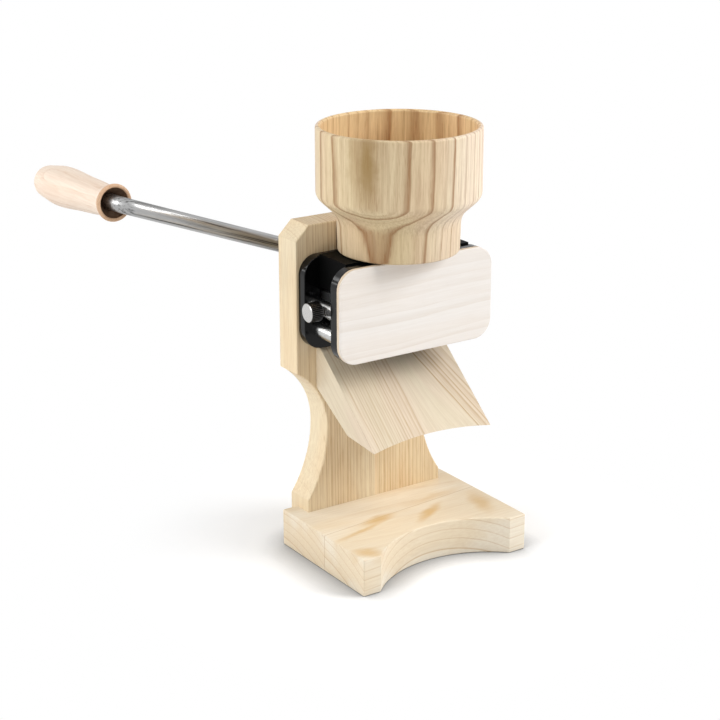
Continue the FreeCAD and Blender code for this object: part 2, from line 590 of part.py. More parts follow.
def make_feed_block():
    """Black block between the plates. Its hole starts under the hopper and ends over the nip."""
    y0, y1, wide = GAP_FRONT_Y, BACK_PLATE_Y, FEED_HALF_WIDTH
    body = block(-wide, wide, y0, y1, FEED_LEFT_BOTTOM_Z, FEED_TOP_Z)
    body = body.fuse(block(0, wide, y0, y1, FEED_RIGHT_BOTTOM_Z, FEED_TOP_Z))
    ring = rod_between(vec(0, HOPPER_Y, FEED_TOP_Z - FEED_RISE / 2), Z_AXIS, FEED_RING_RADIUS,
                       FEED_RING_HEIGHT + FEED_RISE / 2)
    body = body.fuse(ring).removeSplitter()
    clear = ROLLER_RADIUS + FEED_ROLLER_GAP
    room = [rod_y(0, CRANK_Z, y0 - 1, y1 + 1, clear)]
    for shift in (0, CARRIAGE_TRAVEL):
        room.append(rod_y(IDLER_X - shift, IDLER_Z, y0 - 1, y1 + 1, clear))
    room.append(block(IDLER_X - CARRIAGE_TRAVEL, IDLER_X, y0 - 1, y1 + 1, IDLER_Z, IDLER_Z + clear))
    hole = FEED_HOLE_RADIUS
    room.append(rod_between(vec(0, HOPPER_Y, FEED_TOP_Z - 1), Z_AXIS, hole, FEED_RING_HEIGHT + 2))
    near, far = HOPPER_Y - hole, HOPPER_Y + hole
    top = [(-hole, near), (hole, near), (hole, far), (-hole, far)]
    front, back = y0 + FEED_SLOT_WALL, y1 - FEED_SLOT_WALL
    low = [(FEED_SLOT_LEFT, front), (FEED_SLOT_RIGHT, front), (FEED_SLOT_RIGHT, back), (FEED_SLOT_LEFT, back)]
    wires = []
    for outline, z in ((top, FEED_TOP_Z - 1), (low, FEED_LEFT_BOTTOM_Z - 1)):
        wires.append(Part.makePolygon([vec(x, y, z) for x, y in outline + outline[:1]]))
    room.append(Part.makeLoft(wires, True, True))
    return body.cut(room)


def make_bearing_block(y0, y1):
    """One end of the carriage. It slides in a plate's window and carries the idler's axle."""
    half = BLOCK_HEIGHT / 2
    piece = block(YOKE_RIGHT_X, IDLER_X + BLOCK_REACH_RIGHT, y0, y1, IDLER_Z - half, IDLER_Z + half)
    return piece.cut(rod_y(IDLER_X, IDLER_Z, y0 - 1, y1 + 1, AXLE_RADIUS + RUNNING_CLEARANCE))


def make_yoke():
    """The bar across the two bearing blocks that the gap screw pushes on."""
    y0, y1, half = FRONT_PLATE_Y + BLOCK_FACE_GAP, POST_FRONT_Y - BLOCK_FACE_GAP, YOKE_HEIGHT / 2
    piece = block(YOKE_LEFT_X, YOKE_RIGHT_X, y0, y1, IDLER_Z - half, IDLER_Z + half)
    tip_radius = SPINDLE_TIP_DIAMETER / 2 + RUNNING_CLEARANCE
    start = vec(YOKE_LEFT_X - 1, GAP_MIDDLE_Y, IDLER_Z)
    return piece.cut(rod_between(start, X_AXIS, tip_radius, SPINDLE_TIP_LENGTH + RUNNING_CLEARANCE + 1))


def make_spindle():
    """The gap screw's shank, with a thin tip that turns in the yoke."""
    neck_x = YOKE_LEFT_X - RUNNING_CLEARANCE
    start = KNOB_RIGHT_X - KNOB_LENGTH / 2
    shank = rod_between(vec(start, GAP_MIDDLE_Y, IDLER_Z), X_AXIS, SPINDLE_DIAMETER / 2, neck_x - start)
    neck = vec(neck_x, GAP_MIDDLE_Y, IDLER_Z)
    return shank.fuse(rod_between(neck, X_AXIS, SPINDLE_TIP_DIAMETER / 2, SPINDLE_TIP_LENGTH))


def make_knob():
    """Knurled knob with chamfered rims, drilled for the spindle."""
    radius = KNOB_DIAMETER / 2
    outline = [(0, 0), (radius - KNOB_EDGE, 0), (radius, KNOB_EDGE), (radius, KNOB_LENGTH - KNOB_EDGE)]
    outline += [(radius - KNOB_EDGE, KNOB_LENGTH), (0, KNOB_LENGTH)]
    knob = turned(outline, [0] * 6, vec(KNOB_LEFT_X, GAP_MIDDLE_Y, IDLER_Z), X_AXIS)
    grooves = []
    for k in range(KNOB_KNURLS):
        angle = 2 * math.pi * k / KNOB_KNURLS
        y, z = GAP_MIDDLE_Y + radius * math.cos(angle), IDLER_Z + radius * math.sin(angle)
        grooves.append(rod_between(vec(KNOB_LEFT_X - 1, y, z), X_AXIS, KNOB_KNURL_RADIUS, KNOB_LENGTH + 2))
    start = vec(KNOB_RIGHT_X - KNOB_LENGTH / 2, GAP_MIDDLE_Y, IDLER_Z)
    hole = rod_between(start, X_AXIS, SPINDLE_DIAMETER / 2, KNOB_LENGTH)
    return knob.cut(grooves).cut(hole)


def grip_frame():
    """The corner of the rod at the grip, and the direction of the grip's axis."""
    rise, droop = math.radians(CRANK_RISE), math.radians(GRIP_DROOP)
    corner = vec(-CRANK_RADIUS * math.cos(rise), ARM_Y, CRANK_Z + CRANK_RADIUS * math.sin(rise))
    return corner, vec(0, math.cos(droop), -math.sin(droop))


def grip_mouth():
    """Where the grip's axis meets its mouth."""
    corner, along = grip_frame()
    return corner + along * (ROD_RADIUS + GRIP_MOUTH_GAP)


def rod_end_distance():
    """From the grip's mouth to the end of the rod."""
    return GRIP_LENGTH - GRIP_RECESS_DEPTH + GRIP_END_PLAY


def make_crank_rod():
    """The shaft, the arm and the grip's pin: one rod with two bends."""
    corner, along = grip_frame()
    start = vec(0, FRONT_PLATE_Y + SHAFT_FRONT_GAP, CRANK_Z)
    turn = vec(0, ARM_Y, CRANK_Z)
    end = grip_mouth() + along * rod_end_distance()
    bends = ((start, turn, corner, SHAFT_BEND_RADIUS), (turn, corner, end, GRIP_BEND_RADIUS))
    edges, at = [], start
    for before, here, after, radius in bends:
        back, on = (before - here).normalize(), (after - here).normalize()
        half = back.getAngle(on) / 2
        run = radius / math.tan(half)
        centre = here + (back + on).normalize() * (radius / math.sin(half))
        middle = centre + (here - centre).normalize() * radius
        edges.append(Part.makeLine(at, here + back * run))
        edges.append(Part.Arc(here + back * run, middle, here + on * run).toShape())
        at = here + on * run
    edges.append(Part.makeLine(at, end))
    path = Part.Wire(edges)
    profile = Part.Wire(Part.makeCircle(ROD_RADIUS, start, Y_AXIS))
    rod = path.makePipeShell([profile], True, False)
    expected = math.pi * ROD_RADIUS ** 2 * path.Length
    print("crank rod's volume over its section times its length:", round(rod.Volume / expected, 4))
    thread = rod_between(end, along * -1, BOLT_RADIUS - RUNNING_CLEARANCE, GRIP_SCREW_LENGTH)
    return rod.cut(thread)


def make_grip():
    """Pear-shaped grip with a bead round its mouth, bored for the rod and recessed for its screw."""
    length, bead = GRIP_LENGTH, GRIP_BEAD
    mouth, along = grip_mouth(), grip_frame()[1]
    out = X_AXIS

    def at(radius, distance):
        return mouth + out * radius + along * distance

    bead_arc = Part.Arc(at(GRIP_MOUTH_RADIUS, bead / 2), at(GRIP_MOUTH_RADIUS + bead / 2, 0),
                        at(GRIP_COLLAR_RADIUS, bead)).toShape()
    profile = [(GRIP_COLLAR_RADIUS, bead), (GRIP_COLLAR_RADIUS - 0.4, 3.8), (GRIP_NECK_RADIUS, 9.5)]
    profile += [(GRIP_NECK_RADIUS + 0.25, 16.0), (GRIP_MIDDLE_RADIUS, 45.0), (GRIP_BULB_RADIUS, 76.0)]
    profile += [(GRIP_BULB_RADIUS - 1.7, 91.0), (GRIP_END_RADIUS, length)]
    curve = Part.BSplineCurve()
    end_slope = (along - out * 1.6).normalize()
    curve.interpolate(Points=[at(r, s) for r, s in profile], InitialTangent=along, FinalTangent=end_slope)
    recess_floor = length - GRIP_RECESS_DEPTH
    bore = ROD_RADIUS + GRIP_BORE_CLEARANCE
    inside = [(GRIP_END_RADIUS, length), (GRIP_RECESS_RADIUS, length), (GRIP_RECESS_RADIUS, recess_floor)]
    inside += [(bore, recess_floor), (bore, GRIP_MOUTH_DEPTH + GRIP_MOUTH_CONE)]
    inside += [(GRIP_MOUTH_RADIUS, GRIP_MOUTH_DEPTH), (GRIP_MOUTH_RADIUS, bead / 2)]
    edges = [bead_arc, curve.toShape()]
    edges += [Part.makeLine(at(*a), at(*b)) for a, b in zip(inside, inside[1:])]
    return Part.Face(Part.Wire(edges)).revolve(mouth, along, 360)


def grip_fastener():
    """The washer and the screw at the end of the rod."""
    along = grip_frame()[1]
    end = grip_mouth() + along * rod_end_distance()
    washer = rod_between(end, along, GRIP_WASHER_RADIUS, GRIP_WASHER_THICKNESS)
    washer = washer.cut(rod_between(end - along, along, BOLT_RADIUS, GRIP_WASHER_THICKNESS + 2))
    under_head = end + along * GRIP_WASHER_THICKNESS
    head_radius, head = GRIP_SCREW_HEAD_RADIUS, GRIP_SCREW_HEAD
    outline = [(0, 0), (head_radius, 0), (head_radius, head), (0, head)]
    screw = turned(outline, [0, 0, head / 2, 0], under_head, along)
    shank_length = GRIP_SCREW_LENGTH + GRIP_WASHER_THICKNESS - RUNNING_CLEARANCE
    screw = screw.fuse(rod_between(under_head, along * -1, BOLT_RADIUS - RUNNING_CLEARANCE, shank_length))
    socket = rod_between(under_head + along * (head / 2), along, head_radius / 2, head)
    return washer, screw.cut(socket)


def make_hopper():
    """Turned hopper: straight wall, shoulder and neck outside, cone and outlet inside."""
    bottom = HOPPER_BOTTOM_Z
    top = bottom + HOPPER_HEIGHT
    ring = FEED_RING_RADIUS + HOPPER_RECESS_CLEARANCE
    ring_top = FEED_TOP_Z + FEED_RING_HEIGHT + HOPPER_RECESS_CLEARANCE
    inner = HOPPER_RIM_RADIUS - HOPPER_WALL
    lip = HOPPER_WALL * 0.45
    outline = [
        (ring, bottom, 0),
        (HOPPER_NECK_RADIUS, bottom, HOPPER_BOTTOM_ROUND),
        (HOPPER_NECK_TOP_RADIUS, bottom + HOPPER_FLARE_BOTTOM, HOPPER_NECK_FILLET),
        (HOPPER_RIM_RADIUS, bottom + HOPPER_FLARE_TOP, HOPPER_SHOULDER_FILLET),
        (HOPPER_RIM_RADIUS, top, lip),
        (inner, top, lip),
        (inner, bottom + HOPPER_CONE_TOP, HOPPER_SHOULDER_FILLET),
        (HOPPER_OUTLET_RADIUS, bottom + HOPPER_CONE_BOTTOM, HOPPER_BOTTOM_ROUND),
        (HOPPER_OUTLET_RADIUS, ring_top, 0),
        (ring, ring_top, 0),
    ]
    points = [(r, z) for r, z, _ in outline]
    radii = [rounding for _, _, rounding in outline]
    return turned(points, radii, vec(0, HOPPER_Y, 0), Z_AXIS)


def main():
    os.makedirs("parts", exist_ok=True)
    plate_screws = make_plate_screws()
    bolts = [make_bolt(*spot) for spot in housing_bolts()]
    save("base_board", wood_screw_holes(make_base()))
    save("post", wood_screw_holes(bolt_holes(make_post())))
    save("chute", wood_screw_holes(make_chute()))
    save("wood_screws", [make_wood_screw(x, z) for x, z in wood_screw_spots()])
    save("back_plate", plate_screw_holes(bolt_holes(make_plate(BACK_PLATE_Y)), plate_screws))
    save("front_plate", plate_screw_holes(make_plate(FRONT_PLATE_Y), plate_screws))
    save("front_cover", make_cover())
    feed_block = plate_screw_holes(make_feed_block(), plate_screws)
    for bolt in bolts:
        feed_block = feed_block.cut(bolt)
    save("feed_block", feed_block)
    save("screw_bar", plate_screw_holes(make_screw_bar(), plate_screws))
    tie_bars = []
    for side in (-1, 1):
        tie_bar = plate_screw_holes(bar(side * TIE_BAR_X, TIE_BAR_Z), plate_screws)
        for bolt in bolts:
            tie_bar = tie_bar.cut(bolt)
        tie_bars.append(tie_bar)
    save("tie_bars", tie_bars)
    save("plate_screws", plate_screws)
    save("housing_bolts", bolts)
    save("housing_washers", [make_washer(x, z) for x, z, _ in housing_bolts()])
    save("post_bush", make_post_bush())
    save("back_bush", make_bush(BACK_PLATE_Y))
    save("front_bush", make_bush(FRONT_PLATE_Y))

    save("crank_rod", make_crank_rod())
    drive_roller = make_roller(0, CRANK_Z, ROD_RADIUS + SEAT_CLEARANCE, 0)
    save("drive_roller", drive_roller.cut(set_screw_hole(SET_SCREW_RADIUS, 0, ROLLER_DIAMETER)))
    save("roller_set_screw", make_set_screw())
    grip_washer, grip_screw = grip_fastener()
    save("grip_washer", grip_washer)
    save("grip_screw", grip_screw)
    save("grip", make_grip())

    to_drive = math.degrees(math.atan2(CRANK_Z - IDLER_Z, -IDLER_X))
    first_flute = 2 * to_drive + 180.0 / ROLLER_FLUTES
    save("idler_roller", make_roller(IDLER_X, IDLER_Z, AXLE_RADIUS + SEAT_CLEARANCE, first_flute))
    axle_y0, axle_y1 = FRONT_PLATE_Y + BLOCK_FACE_GAP, POST_FRONT_Y - BLOCK_FACE_GAP
    save("idler_axle", rod_y(IDLER_X, IDLER_Z, axle_y0, axle_y1, AXLE_RADIUS))
    save("front_bearing_block", make_bearing_block(axle_y0, GAP_FRONT_Y))
    save("back_bearing_block", make_bearing_block(BACK_PLATE_Y, axle_y1))
    save("yoke", make_yoke())
    save("gap_spindle", make_spindle())
    save("gap_knob", make_knob())
    save("hopper", make_hopper())


main()
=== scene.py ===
"""Looks of a hand crank grain flaker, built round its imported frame. Lengths are in metres, in the row frame."""

import logging
import math
from dataclasses import dataclass, field
from enum import Enum
from typing import Any, Callable, Sequence, Union

import bpy
from mathutils import Matrix, Vector

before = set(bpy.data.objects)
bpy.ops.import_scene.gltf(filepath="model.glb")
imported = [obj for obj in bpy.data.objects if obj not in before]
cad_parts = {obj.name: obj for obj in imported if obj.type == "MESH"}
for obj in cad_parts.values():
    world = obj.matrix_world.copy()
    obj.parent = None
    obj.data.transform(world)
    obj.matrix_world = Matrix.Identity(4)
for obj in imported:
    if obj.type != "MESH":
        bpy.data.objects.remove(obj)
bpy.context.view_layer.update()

Color = tuple[float, float, float]
Point = tuple[float, float, float]
Socket = bpy.types.NodeSocket
Value = Union[float, Sequence[float], Socket]

LOG = logging.getLogger("flaker")
MM = 0.001
PER_METRE = 1000.0  # millimetres in a metre, for patterns whose sizes are written in millimetres
FLAT = (1.0, 1.0, 0.0)  # takes away a place's part along Z


def srgb(red: int, green: int, blue: int) -> Color:
    """Turns a colour as a screen shows it, 0 to 255, into the linear values that shaders take.

    Args:
        red: Red, 0 to 255.
        green: Green, 0 to 255.
        blue: Blue, 0 to 255.

    Returns:
        The linear colour.
    """
    def linear(value: int) -> float:
        """One channel."""
        share = value / 255
        return share / 12.92 if share <= 0.04045 else ((share + 0.055) / 1.055) ** 2.4

    return linear(red), linear(green), linear(blue)


class Graph:
    """Adds nodes to one node tree and feeds their inputs with numbers, colours or other nodes' outputs."""

    def __init__(self, tree: bpy.types.NodeTree) -> None:
        """Keeps the tree."""
        self.tree = tree

    def feed(self, socket: Socket, value: Value) -> None:
        """Links or sets one input.

        Args:
            socket: The input.
            value: An output to link, or what the input is set to.
        """
        if isinstance(value, bpy.types.NodeSocket):
            self.tree.links.new(value, socket)
        elif hasattr(socket.default_value, "__len__") and len(socket.default_value) == 4 and len(value) == 3:
            socket.default_value = (*value, 1.0)
        else:
            socket.default_value = value

    def add(self, kind: str, inputs: dict[Union[str, int], Value] | None = None, **settings: Any) -> bpy.types.Node:
        """Adds a node.

        Args:
            kind: The node's type, without its ShaderNode prefix.
            inputs: What its inputs are fed with, by name or number.
            **settings: The node's own settings.

        Returns:
            The node.
        """
        node = self.tree.nodes.new("ShaderNode" + kind)
        for name, value in settings.items():
            setattr(node, name, value)
        for key, value in (inputs or {}).items():
            self.feed(node.inputs[key], value)
        return node

    def math(self, operation: str, *values: Value) -> Socket:
        """The result of a Math node."""
        return self.add("Math", dict(enumerate(values)), operation=operation).outputs[0]

    def vector(self, operation: str, *values: Value) -> Socket:
        """The result of a Vector Math node that puts out a vector."""
        return self.add("VectorMath", dict(enumerate(values)), operation=operation).outputs[0]

    def scaled(self, value: Value, scale: Value) -> Socket:
        """A vector made longer or shorter."""
        return self.add("VectorMath", {0: value, "Scale": scale}, operation="SCALE").outputs[0]

    def dot(self, first: Value, second: Value) -> Socket:
        """The dot product of two vectors."""
        return self.add("VectorMath", {0: first, 1: second}, operation="DOT_PRODUCT").outputs["Value"]

    def length(self, value: Value) -> Socket:
        """The length of a vector."""
        return self.add("VectorMath", {0: value}, operation="LENGTH").outputs["Value"]

    def mix(self, factor: Value, first: Value, second: Value, blend: str = "MIX") -> Socket:
        """A colour mixed from two.

        Args:
            factor: 0 for the first colour, 1 for the second.
            first: The first colour.
            second: The second colour.
            blend: How they are mixed.

        Returns:
            The mixed colour.
        """
        node = self.add("Mix", {0: factor, 6: first, 7: second}, data_type="RGBA", blend_type=blend)
        return node.outputs[2]

    def tinted(self, mask: Value, color: Value, tint: Value) -> Socket:
        """A colour that a tint multiplies where the mask is 1."""
        return self.mix(mask, color, self.mix(1.0, color, tint, "MULTIPLY"))

    def remap(self, value: Value, start: Value, end: Value, low: Value = 0.0, high: Value = 1.0) -> Socket:
        """Turns the range from start to end smoothly into the range from low to high, and holds it outside."""
        inputs = {"Value": value, "From Min": start, "From Max": end, "To Min": low, "To Max": high}
        return self.add("MapRange", inputs, interpolation_type="SMOOTHSTEP").outputs[0]

    def noise(self, place: Value, detail: float = 2.0, roughness: float = 0.5) -> Socket:
        """A noise of one feature a unit, as a number round 0.5."""
        inputs = {"Vector": place, "Scale": 1.0, "Detail": detail, "Roughness": roughness}
        return self.add("TexNoise", inputs).outputs[0]

    def noise_vector(self, place: Value, detail: float = 1.0) -> Socket:
        """A noise of one feature a unit, as a vector round 0."""
        node = self.add("TexNoise", {"Vector": place, "Scale": 1.0, "Detail": detail})
        return self.vector("SUBTRACT", node.outputs["Color"], (0.5, 0.5, 0.5))


class SharedGroup:
    """A shader node group that several materials use. It is built once, and each material sets its own values."""

    name = ""
    inputs: dict[str, tuple[str, Any]] = {}
    outputs: dict[str, str] = {}

    def build(self, graph: Graph, given: Callable[[str], Socket]) -> dict[str, Socket]:
        """Makes the nodes.

        Args:
            graph: The group's graph.
            given: Gives the group's input of a name.

        Returns:
            What each of the group's outputs puts out.
        """
        raise NotImplementedError

    def tree(self) -> bpy.types.NodeTree:
        """Makes the group's tree when it is first asked for.

        Returns:
            The tree.
        """
        found = bpy.data.node_groups.get(self.name)
        if found:
            return found
        tree = bpy.data.node_groups.new(self.name, "ShaderNodeTree")
        for name, (kind, default) in self.inputs.items():
            socket = tree.interface.new_socket(name, in_out="INPUT", socket_type="NodeSocket" + kind)
            if default is not None:
                socket.default_value = default
        for name, kind in self.outputs.items():
            tree.interface.new_socket(name, in_out="OUTPUT", socket_type="NodeSocket" + kind)
        graph = Graph(tree)
        entry, leave = tree.nodes.new("NodeGroupInput"), tree.nodes.new("NodeGroupOutput")
        for name, socket in self.build(graph, lambda wanted: entry.outputs[wanted]).items():
            tree.links.new(socket, leave.inputs[name])
        return tree

    def use(self, graph: Graph, values: dict[str, Value]) -> bpy.types.Node:
        """Places the group in a material.

        Args:
            graph: The material's graph.
            values: The group's input values.

        Returns:
            The group node.
        """
        node = graph.tree.nodes.new("ShaderNodeGroup")
        node.node_tree = self.tree()
        for name, value in values.items():
            graph.feed(node.inputs[name], value)
        return node


class GluedBoards(SharedGroup):
    """Two boards glued side by side: past the seam the wood comes from elsewhere in the log."""

    name = "glued_boards"
    inputs = {
        "Place": ("Vector", None),
        "Across": ("Vector", (1.0, 0.0, 0.0)),
        "Seam": ("Float", 0.0),
        "Shift": ("Vector", (0.0, 0.0, 0.0)),
        "Line": ("Float", 0.15),
    }
    outputs = {"Place": "Vector", "Side": "Float", "Line": "Float"}
    CORE = 0.4  # share of the line's width that has its full tone

    def build(self, graph: Graph, given: Callable[[str], Socket]) -> dict[str, Socket]:
        """Shifts the place past the seam and draws the seam's thin line.

        Args:
            graph: The group's graph.
            given: Gives the group's input of a name.

        Returns:
            What each of the group's outputs puts out.
        """
        past = graph.math("SUBTRACT", graph.dot(given("Place"), given("Across")), given("Seam"))
        side = graph.math("GREATER_THAN", past, 0.0)
        shift = graph.scaled(given("Shift"), side)
        near = graph.math("DIVIDE", graph.math("ABSOLUTE", past), given("Line"))
        line = graph.remap(near, self.CORE, 1.0, 1.0, 0.0)
        return {"Place": graph.vector("ADD", given("Place"), shift), "Side": side, "Line": line}


def stretched(graph: Graph, place: Socket, across: float, along: float, seed: float) -> Socket:
    """The place in a pattern's own units.

    Args:
        graph: The graph.
        place: The place in millimetres, with the grain along its Z axis.
        across: Width of a feature, in millimetres.
        along: Length of a feature along the grain, in millimetres.
        seed: Keeps the pattern apart from others.

    Returns:
        The scaled and shifted place.
    """
    scaled = graph.vector("MULTIPLY", place, (1 / across, 1 / across, 1 / along))
    return graph.vector("ADD", scaled, (seed, 2 * seed, 3 * seed))


class PithDistance(SharedGroup):
    """Distance from the pith of a tree that didn't grow quite straight. Place has the pith along its Z axis."""

    name = "pith_distance"
    inputs = {"Place": ("Vector", None), "Wander": ("Float", 2.0), "Ripple": ("Float", 0.7)}
    outputs = {"Radius": "Float"}

    def build(self, graph: Graph, given: Callable[[str], Socket]) -> dict[str, Socket]:
        """Bends the place slowly, ripples it finely, and measures across the pith.

        Args:
            graph: The group's graph.
            given: Gives the group's input of a name.

        Returns:
            What each of the group's outputs puts out.
        """
        place = given("Place")
        bend = graph.noise_vector(stretched(graph, place, across=45.0, along=160.0, seed=3.1), detail=1.0)
        ripple = graph.noise_vector(stretched(graph, place, across=7.0, along=60.0, seed=8.7), detail=2.0)
        bent = graph.vector("ADD", place, graph.scaled(bend, given("Wander")))
        bent = graph.vector("ADD", bent, graph.scaled(ripple, given("Ripple")))
        return {"Radius": graph.length(graph.vector("MULTIPLY", bent, FLAT))}


class YearlyRings(SharedGroup):
    """Rings of about equal width, each dark where it starts and fading outwards."""

    name = "yearly_rings"
    inputs = {
        "Radius": ("Float", 0.0),
        "Ring Width": ("Float", 4.0),
        "Ring Start": ("Float", 0.0),
        "Drift": ("Float", 0.8),
        "Band": ("Float", 0.35),
        "Fine Rings": ("Float", 0.2),
    }
    outputs = {"Rings": "Float"}
    PACE = 0.43  # how often the rings' width changes, in features a ring
    FAINTEST = 0.35  # strength of the faintest ring
    EDGE = 0.93  # where in a ring the next one's dark edge starts
    SLOPE = 0.22  # strength of the tone that fades across a whole ring
    FINE_COUNT = 3.0  # faint rings in each ring
    FINE_BAND = 0.5  # the dark share of a faint ring

    def build(self, graph: Graph, given: Callable[[str], Socket]) -> dict[str, Socket]:
        """Rings with a sharp inner edge and fainter ones between them.

        Args:
            graph: The group's graph.
            given: Gives the group's input of a name.

        Returns:
            What each of the group's outputs puts out.
        """
        years = graph.math("DIVIDE", given("Radius"), given("Ring Width"))
        uneven = graph.add("TexNoise", {"W": graph.math("MULTIPLY", years, self.PACE), "Scale": 1.0, "Detail": 1.0},
                           noise_dimensions="1D").outputs[0]
        reach = graph.math("MULTIPLY", given("Drift"), 2.0)
        drift = graph.math("MULTIPLY", graph.math("SUBTRACT", uneven, 0.5), reach)
        years = graph.math("ADD", graph.math("ADD", years, drift), given("Ring Start"))
        part = graph.math("FRACT", years)
        weight = graph.add("TexWhiteNoise", {"W": graph.math("FLOOR", years)}, noise_dimensions="1D").outputs[0]
        weight = graph.remap(weight, 0.0, 1.0, self.FAINTEST, 1.0)
        fall = graph.remap(part, 0.0, given("Band"), 1.0, 0.0)
        rise = graph.remap(part, self.EDGE, 1.0, 0.0, 1.0)
        slope = graph.math("MULTIPLY", graph.math("SUBTRACT", 1.0, part), self.SLOPE)
        band = graph.math("MAXIMUM", graph.math("MAXIMUM", fall, rise), slope)
        between = graph.math("FRACT", graph.math("MULTIPLY", years, self.FINE_COUNT))
        between = graph.remap(between, 0.0, self.FINE_BAND, 1.0, 0.0)
        between = graph.math("MULTIPLY", between, given("Fine Rings"))
        return {"Rings": graph.math("MAXIMUM", graph.math("MULTIPLY", band, weight), between)}


class GrainedWood(SharedGroup):
    """Colour of solid wood from its rings. Place is in millimetres, with the grain along its Z axis."""

    name = "grained_wood"
    inputs = {
        "Place": ("Vector", None),
        "Rings": ("Float", 0.0),
        "Ring Strength": ("Float", 0.6),
        "Fibre Strength": ("Float", 0.3),
        "Pore Strength": ("Float", 0.3),
        "Blush Strength": ("Float", 0.4),
        "Pale": ("Color", (0.8, 0.6, 0.4, 1.0)),
        "Dark": ("Color", (0.5, 0.3, 0.15, 1.0)),
        "Blush": ("Color", (0.8, 0.6, 0.5, 1.0)),
    }
    outputs = {"Color": "Color", "Pores": "Float"}
    FIBRE_EDGE = (0.36, 0.64)  # noise between which the streaks darken
    PORE_EDGE = (0.50, 0.68)  # noise between which a coarse pore shows
    BLUSH_EDGE = (0.38, 0.66)  # noise between which the colour drifts
    GROUPED = 0.75  # share of the coarse pores that keeps to the rings
    SCATTERED = 0.25  # share that doesn't
    FLECKS = 0.9  # strength of the fine pores

    def build(self, graph: Graph, given: Callable[[str], Socket]) -> dict[str, Socket]:
        """Rings, fibres and pores along the grain, over a slow change of colour.

        Args:
            graph: The group's graph.
            given: Gives the group's input of a name.

        Returns:
            What each of the group's outputs puts out.
        """
        place, rings = given("Place"), given("Rings")
        streaks = graph.noise(stretched(graph, place, across=1.25, along=30.0, seed=12.0), detail=3.0, roughness=0.6)
        coarse = graph.noise(stretched(graph, place, across=0.8, along=13.0, seed=21.0), detail=2.0, roughness=0.6)
        fine = graph.noise(stretched(graph, place, across=0.3, along=6.0, seed=35.0), detail=2.0, roughness=0.6)
        slow = graph.noise(stretched(graph, place, across=26.0, along=95.0, seed=50.0), detail=2.0, roughness=0.5)

        grouped = graph.math("ADD", graph.math("MULTIPLY", rings, self.GROUPED), self.SCATTERED)
        fleck = graph.math("MULTIPLY", graph.math("SUBTRACT", fine, 0.5), self.FLECKS)
        pores = graph.math("MULTIPLY", graph.remap(coarse, *self.PORE_EDGE), grouped)
        pores = graph.add("Clamp", {0: graph.math("ADD", pores, fleck)}).outputs[0]

        drifted = graph.math("MULTIPLY", graph.remap(slow, *self.BLUSH_EDGE), given("Blush Strength"))
        body = graph.mix(drifted, given("Pale"), given("Blush"))
        color = graph.mix(graph.math("MULTIPLY", rings, given("Ring Strength")), body, given("Dark"))
        fibre = graph.math("MULTIPLY", graph.remap(streaks, *self.FIBRE_EDGE), given("Fibre Strength"))
        color = graph.mix(fibre, color, graph.mix(0.5, color, given("Dark"), "MULTIPLY"))
        color = graph.mix(graph.math("MULTIPLY", pores, given("Pore Strength")), color, given("Dark"))
        return {"Color": color, "Pores": pores}


class Stain(SharedGroup):
    """A flame of darker wood, as a soft-edged lump at one place."""

    name = "stain"
    inputs = {
        "Place": ("Vector", None),
        "Centre": ("Vector", (0.0, 0.0, 0.0)),
        "Turn": ("Float", 0.0),
        "Size": ("Vector", (10.0, 10.0, 10.0)),
    }
    outputs = {"Mask": "Float"}
    PACE = (0.07, 0.16, 0.15)  # how fine its ragged outline is, in features a millimetre
    RAGGED = 7.0  # how far the outline strays, in millimetres
    EDGE = (0.1, 1.15)  # where it starts to fade and where it ends, in its half sizes

    def build(self, graph: Graph, given: Callable[[str], Socket]) -> dict[str, Socket]:
        """A lump with ragged ends, turned about Z.

        Args:
            graph: The group's graph.
            given: Gives the group's input of a name.

        Returns:
            What each of the group's outputs puts out.
        """
        rough = graph.noise_vector(graph.vector("MULTIPLY", given("Place"), self.PACE), detail=3.0)
        moved = graph.vector("ADD", given("Place"), graph.scaled(rough, self.RAGGED))
        from_centre = graph.vector("SUBTRACT", moved, given("Centre"))
        turned = graph.add("VectorRotate", {"Vector": from_centre, "Angle": given("Turn")}, rotation_type="Z_AXIS")
        share = graph.length(graph.vector("DIVIDE", turned.outputs[0], given("Size")))
        return {"Mask": graph.remap(share, *self.EDGE, 1.0, 0.0)}


class AxisDistance(SharedGroup):
    """How far a place is from an axis, and how far along it."""

    name = "axis_distance"
    inputs = {"Place": ("Vector", None), "Point": ("Vector", (0.0, 0.0, 0.0)), "Axis": ("Vector", (0.0, 0.0, 1.0))}
    outputs = {"Radius": "Float", "Along": "Float"}

    def build(self, graph: Graph, given: Callable[[str], Socket]) -> dict[str, Socket]:
        """Splits the way from the axis's point into the part along the axis and the rest.

        Args:
            graph: The group's graph.
            given: Gives the group's input of a name.

        Returns:
            What each of the group's outputs puts out.
        """
        way = graph.vector("SUBTRACT", given("Place"), given("Point"))
        along = graph.dot(way, given("Axis"))
        part = graph.scaled(given("Axis"), along)
        return {"Radius": graph.length(graph.vector("SUBTRACT", way, part)), "Along": along}


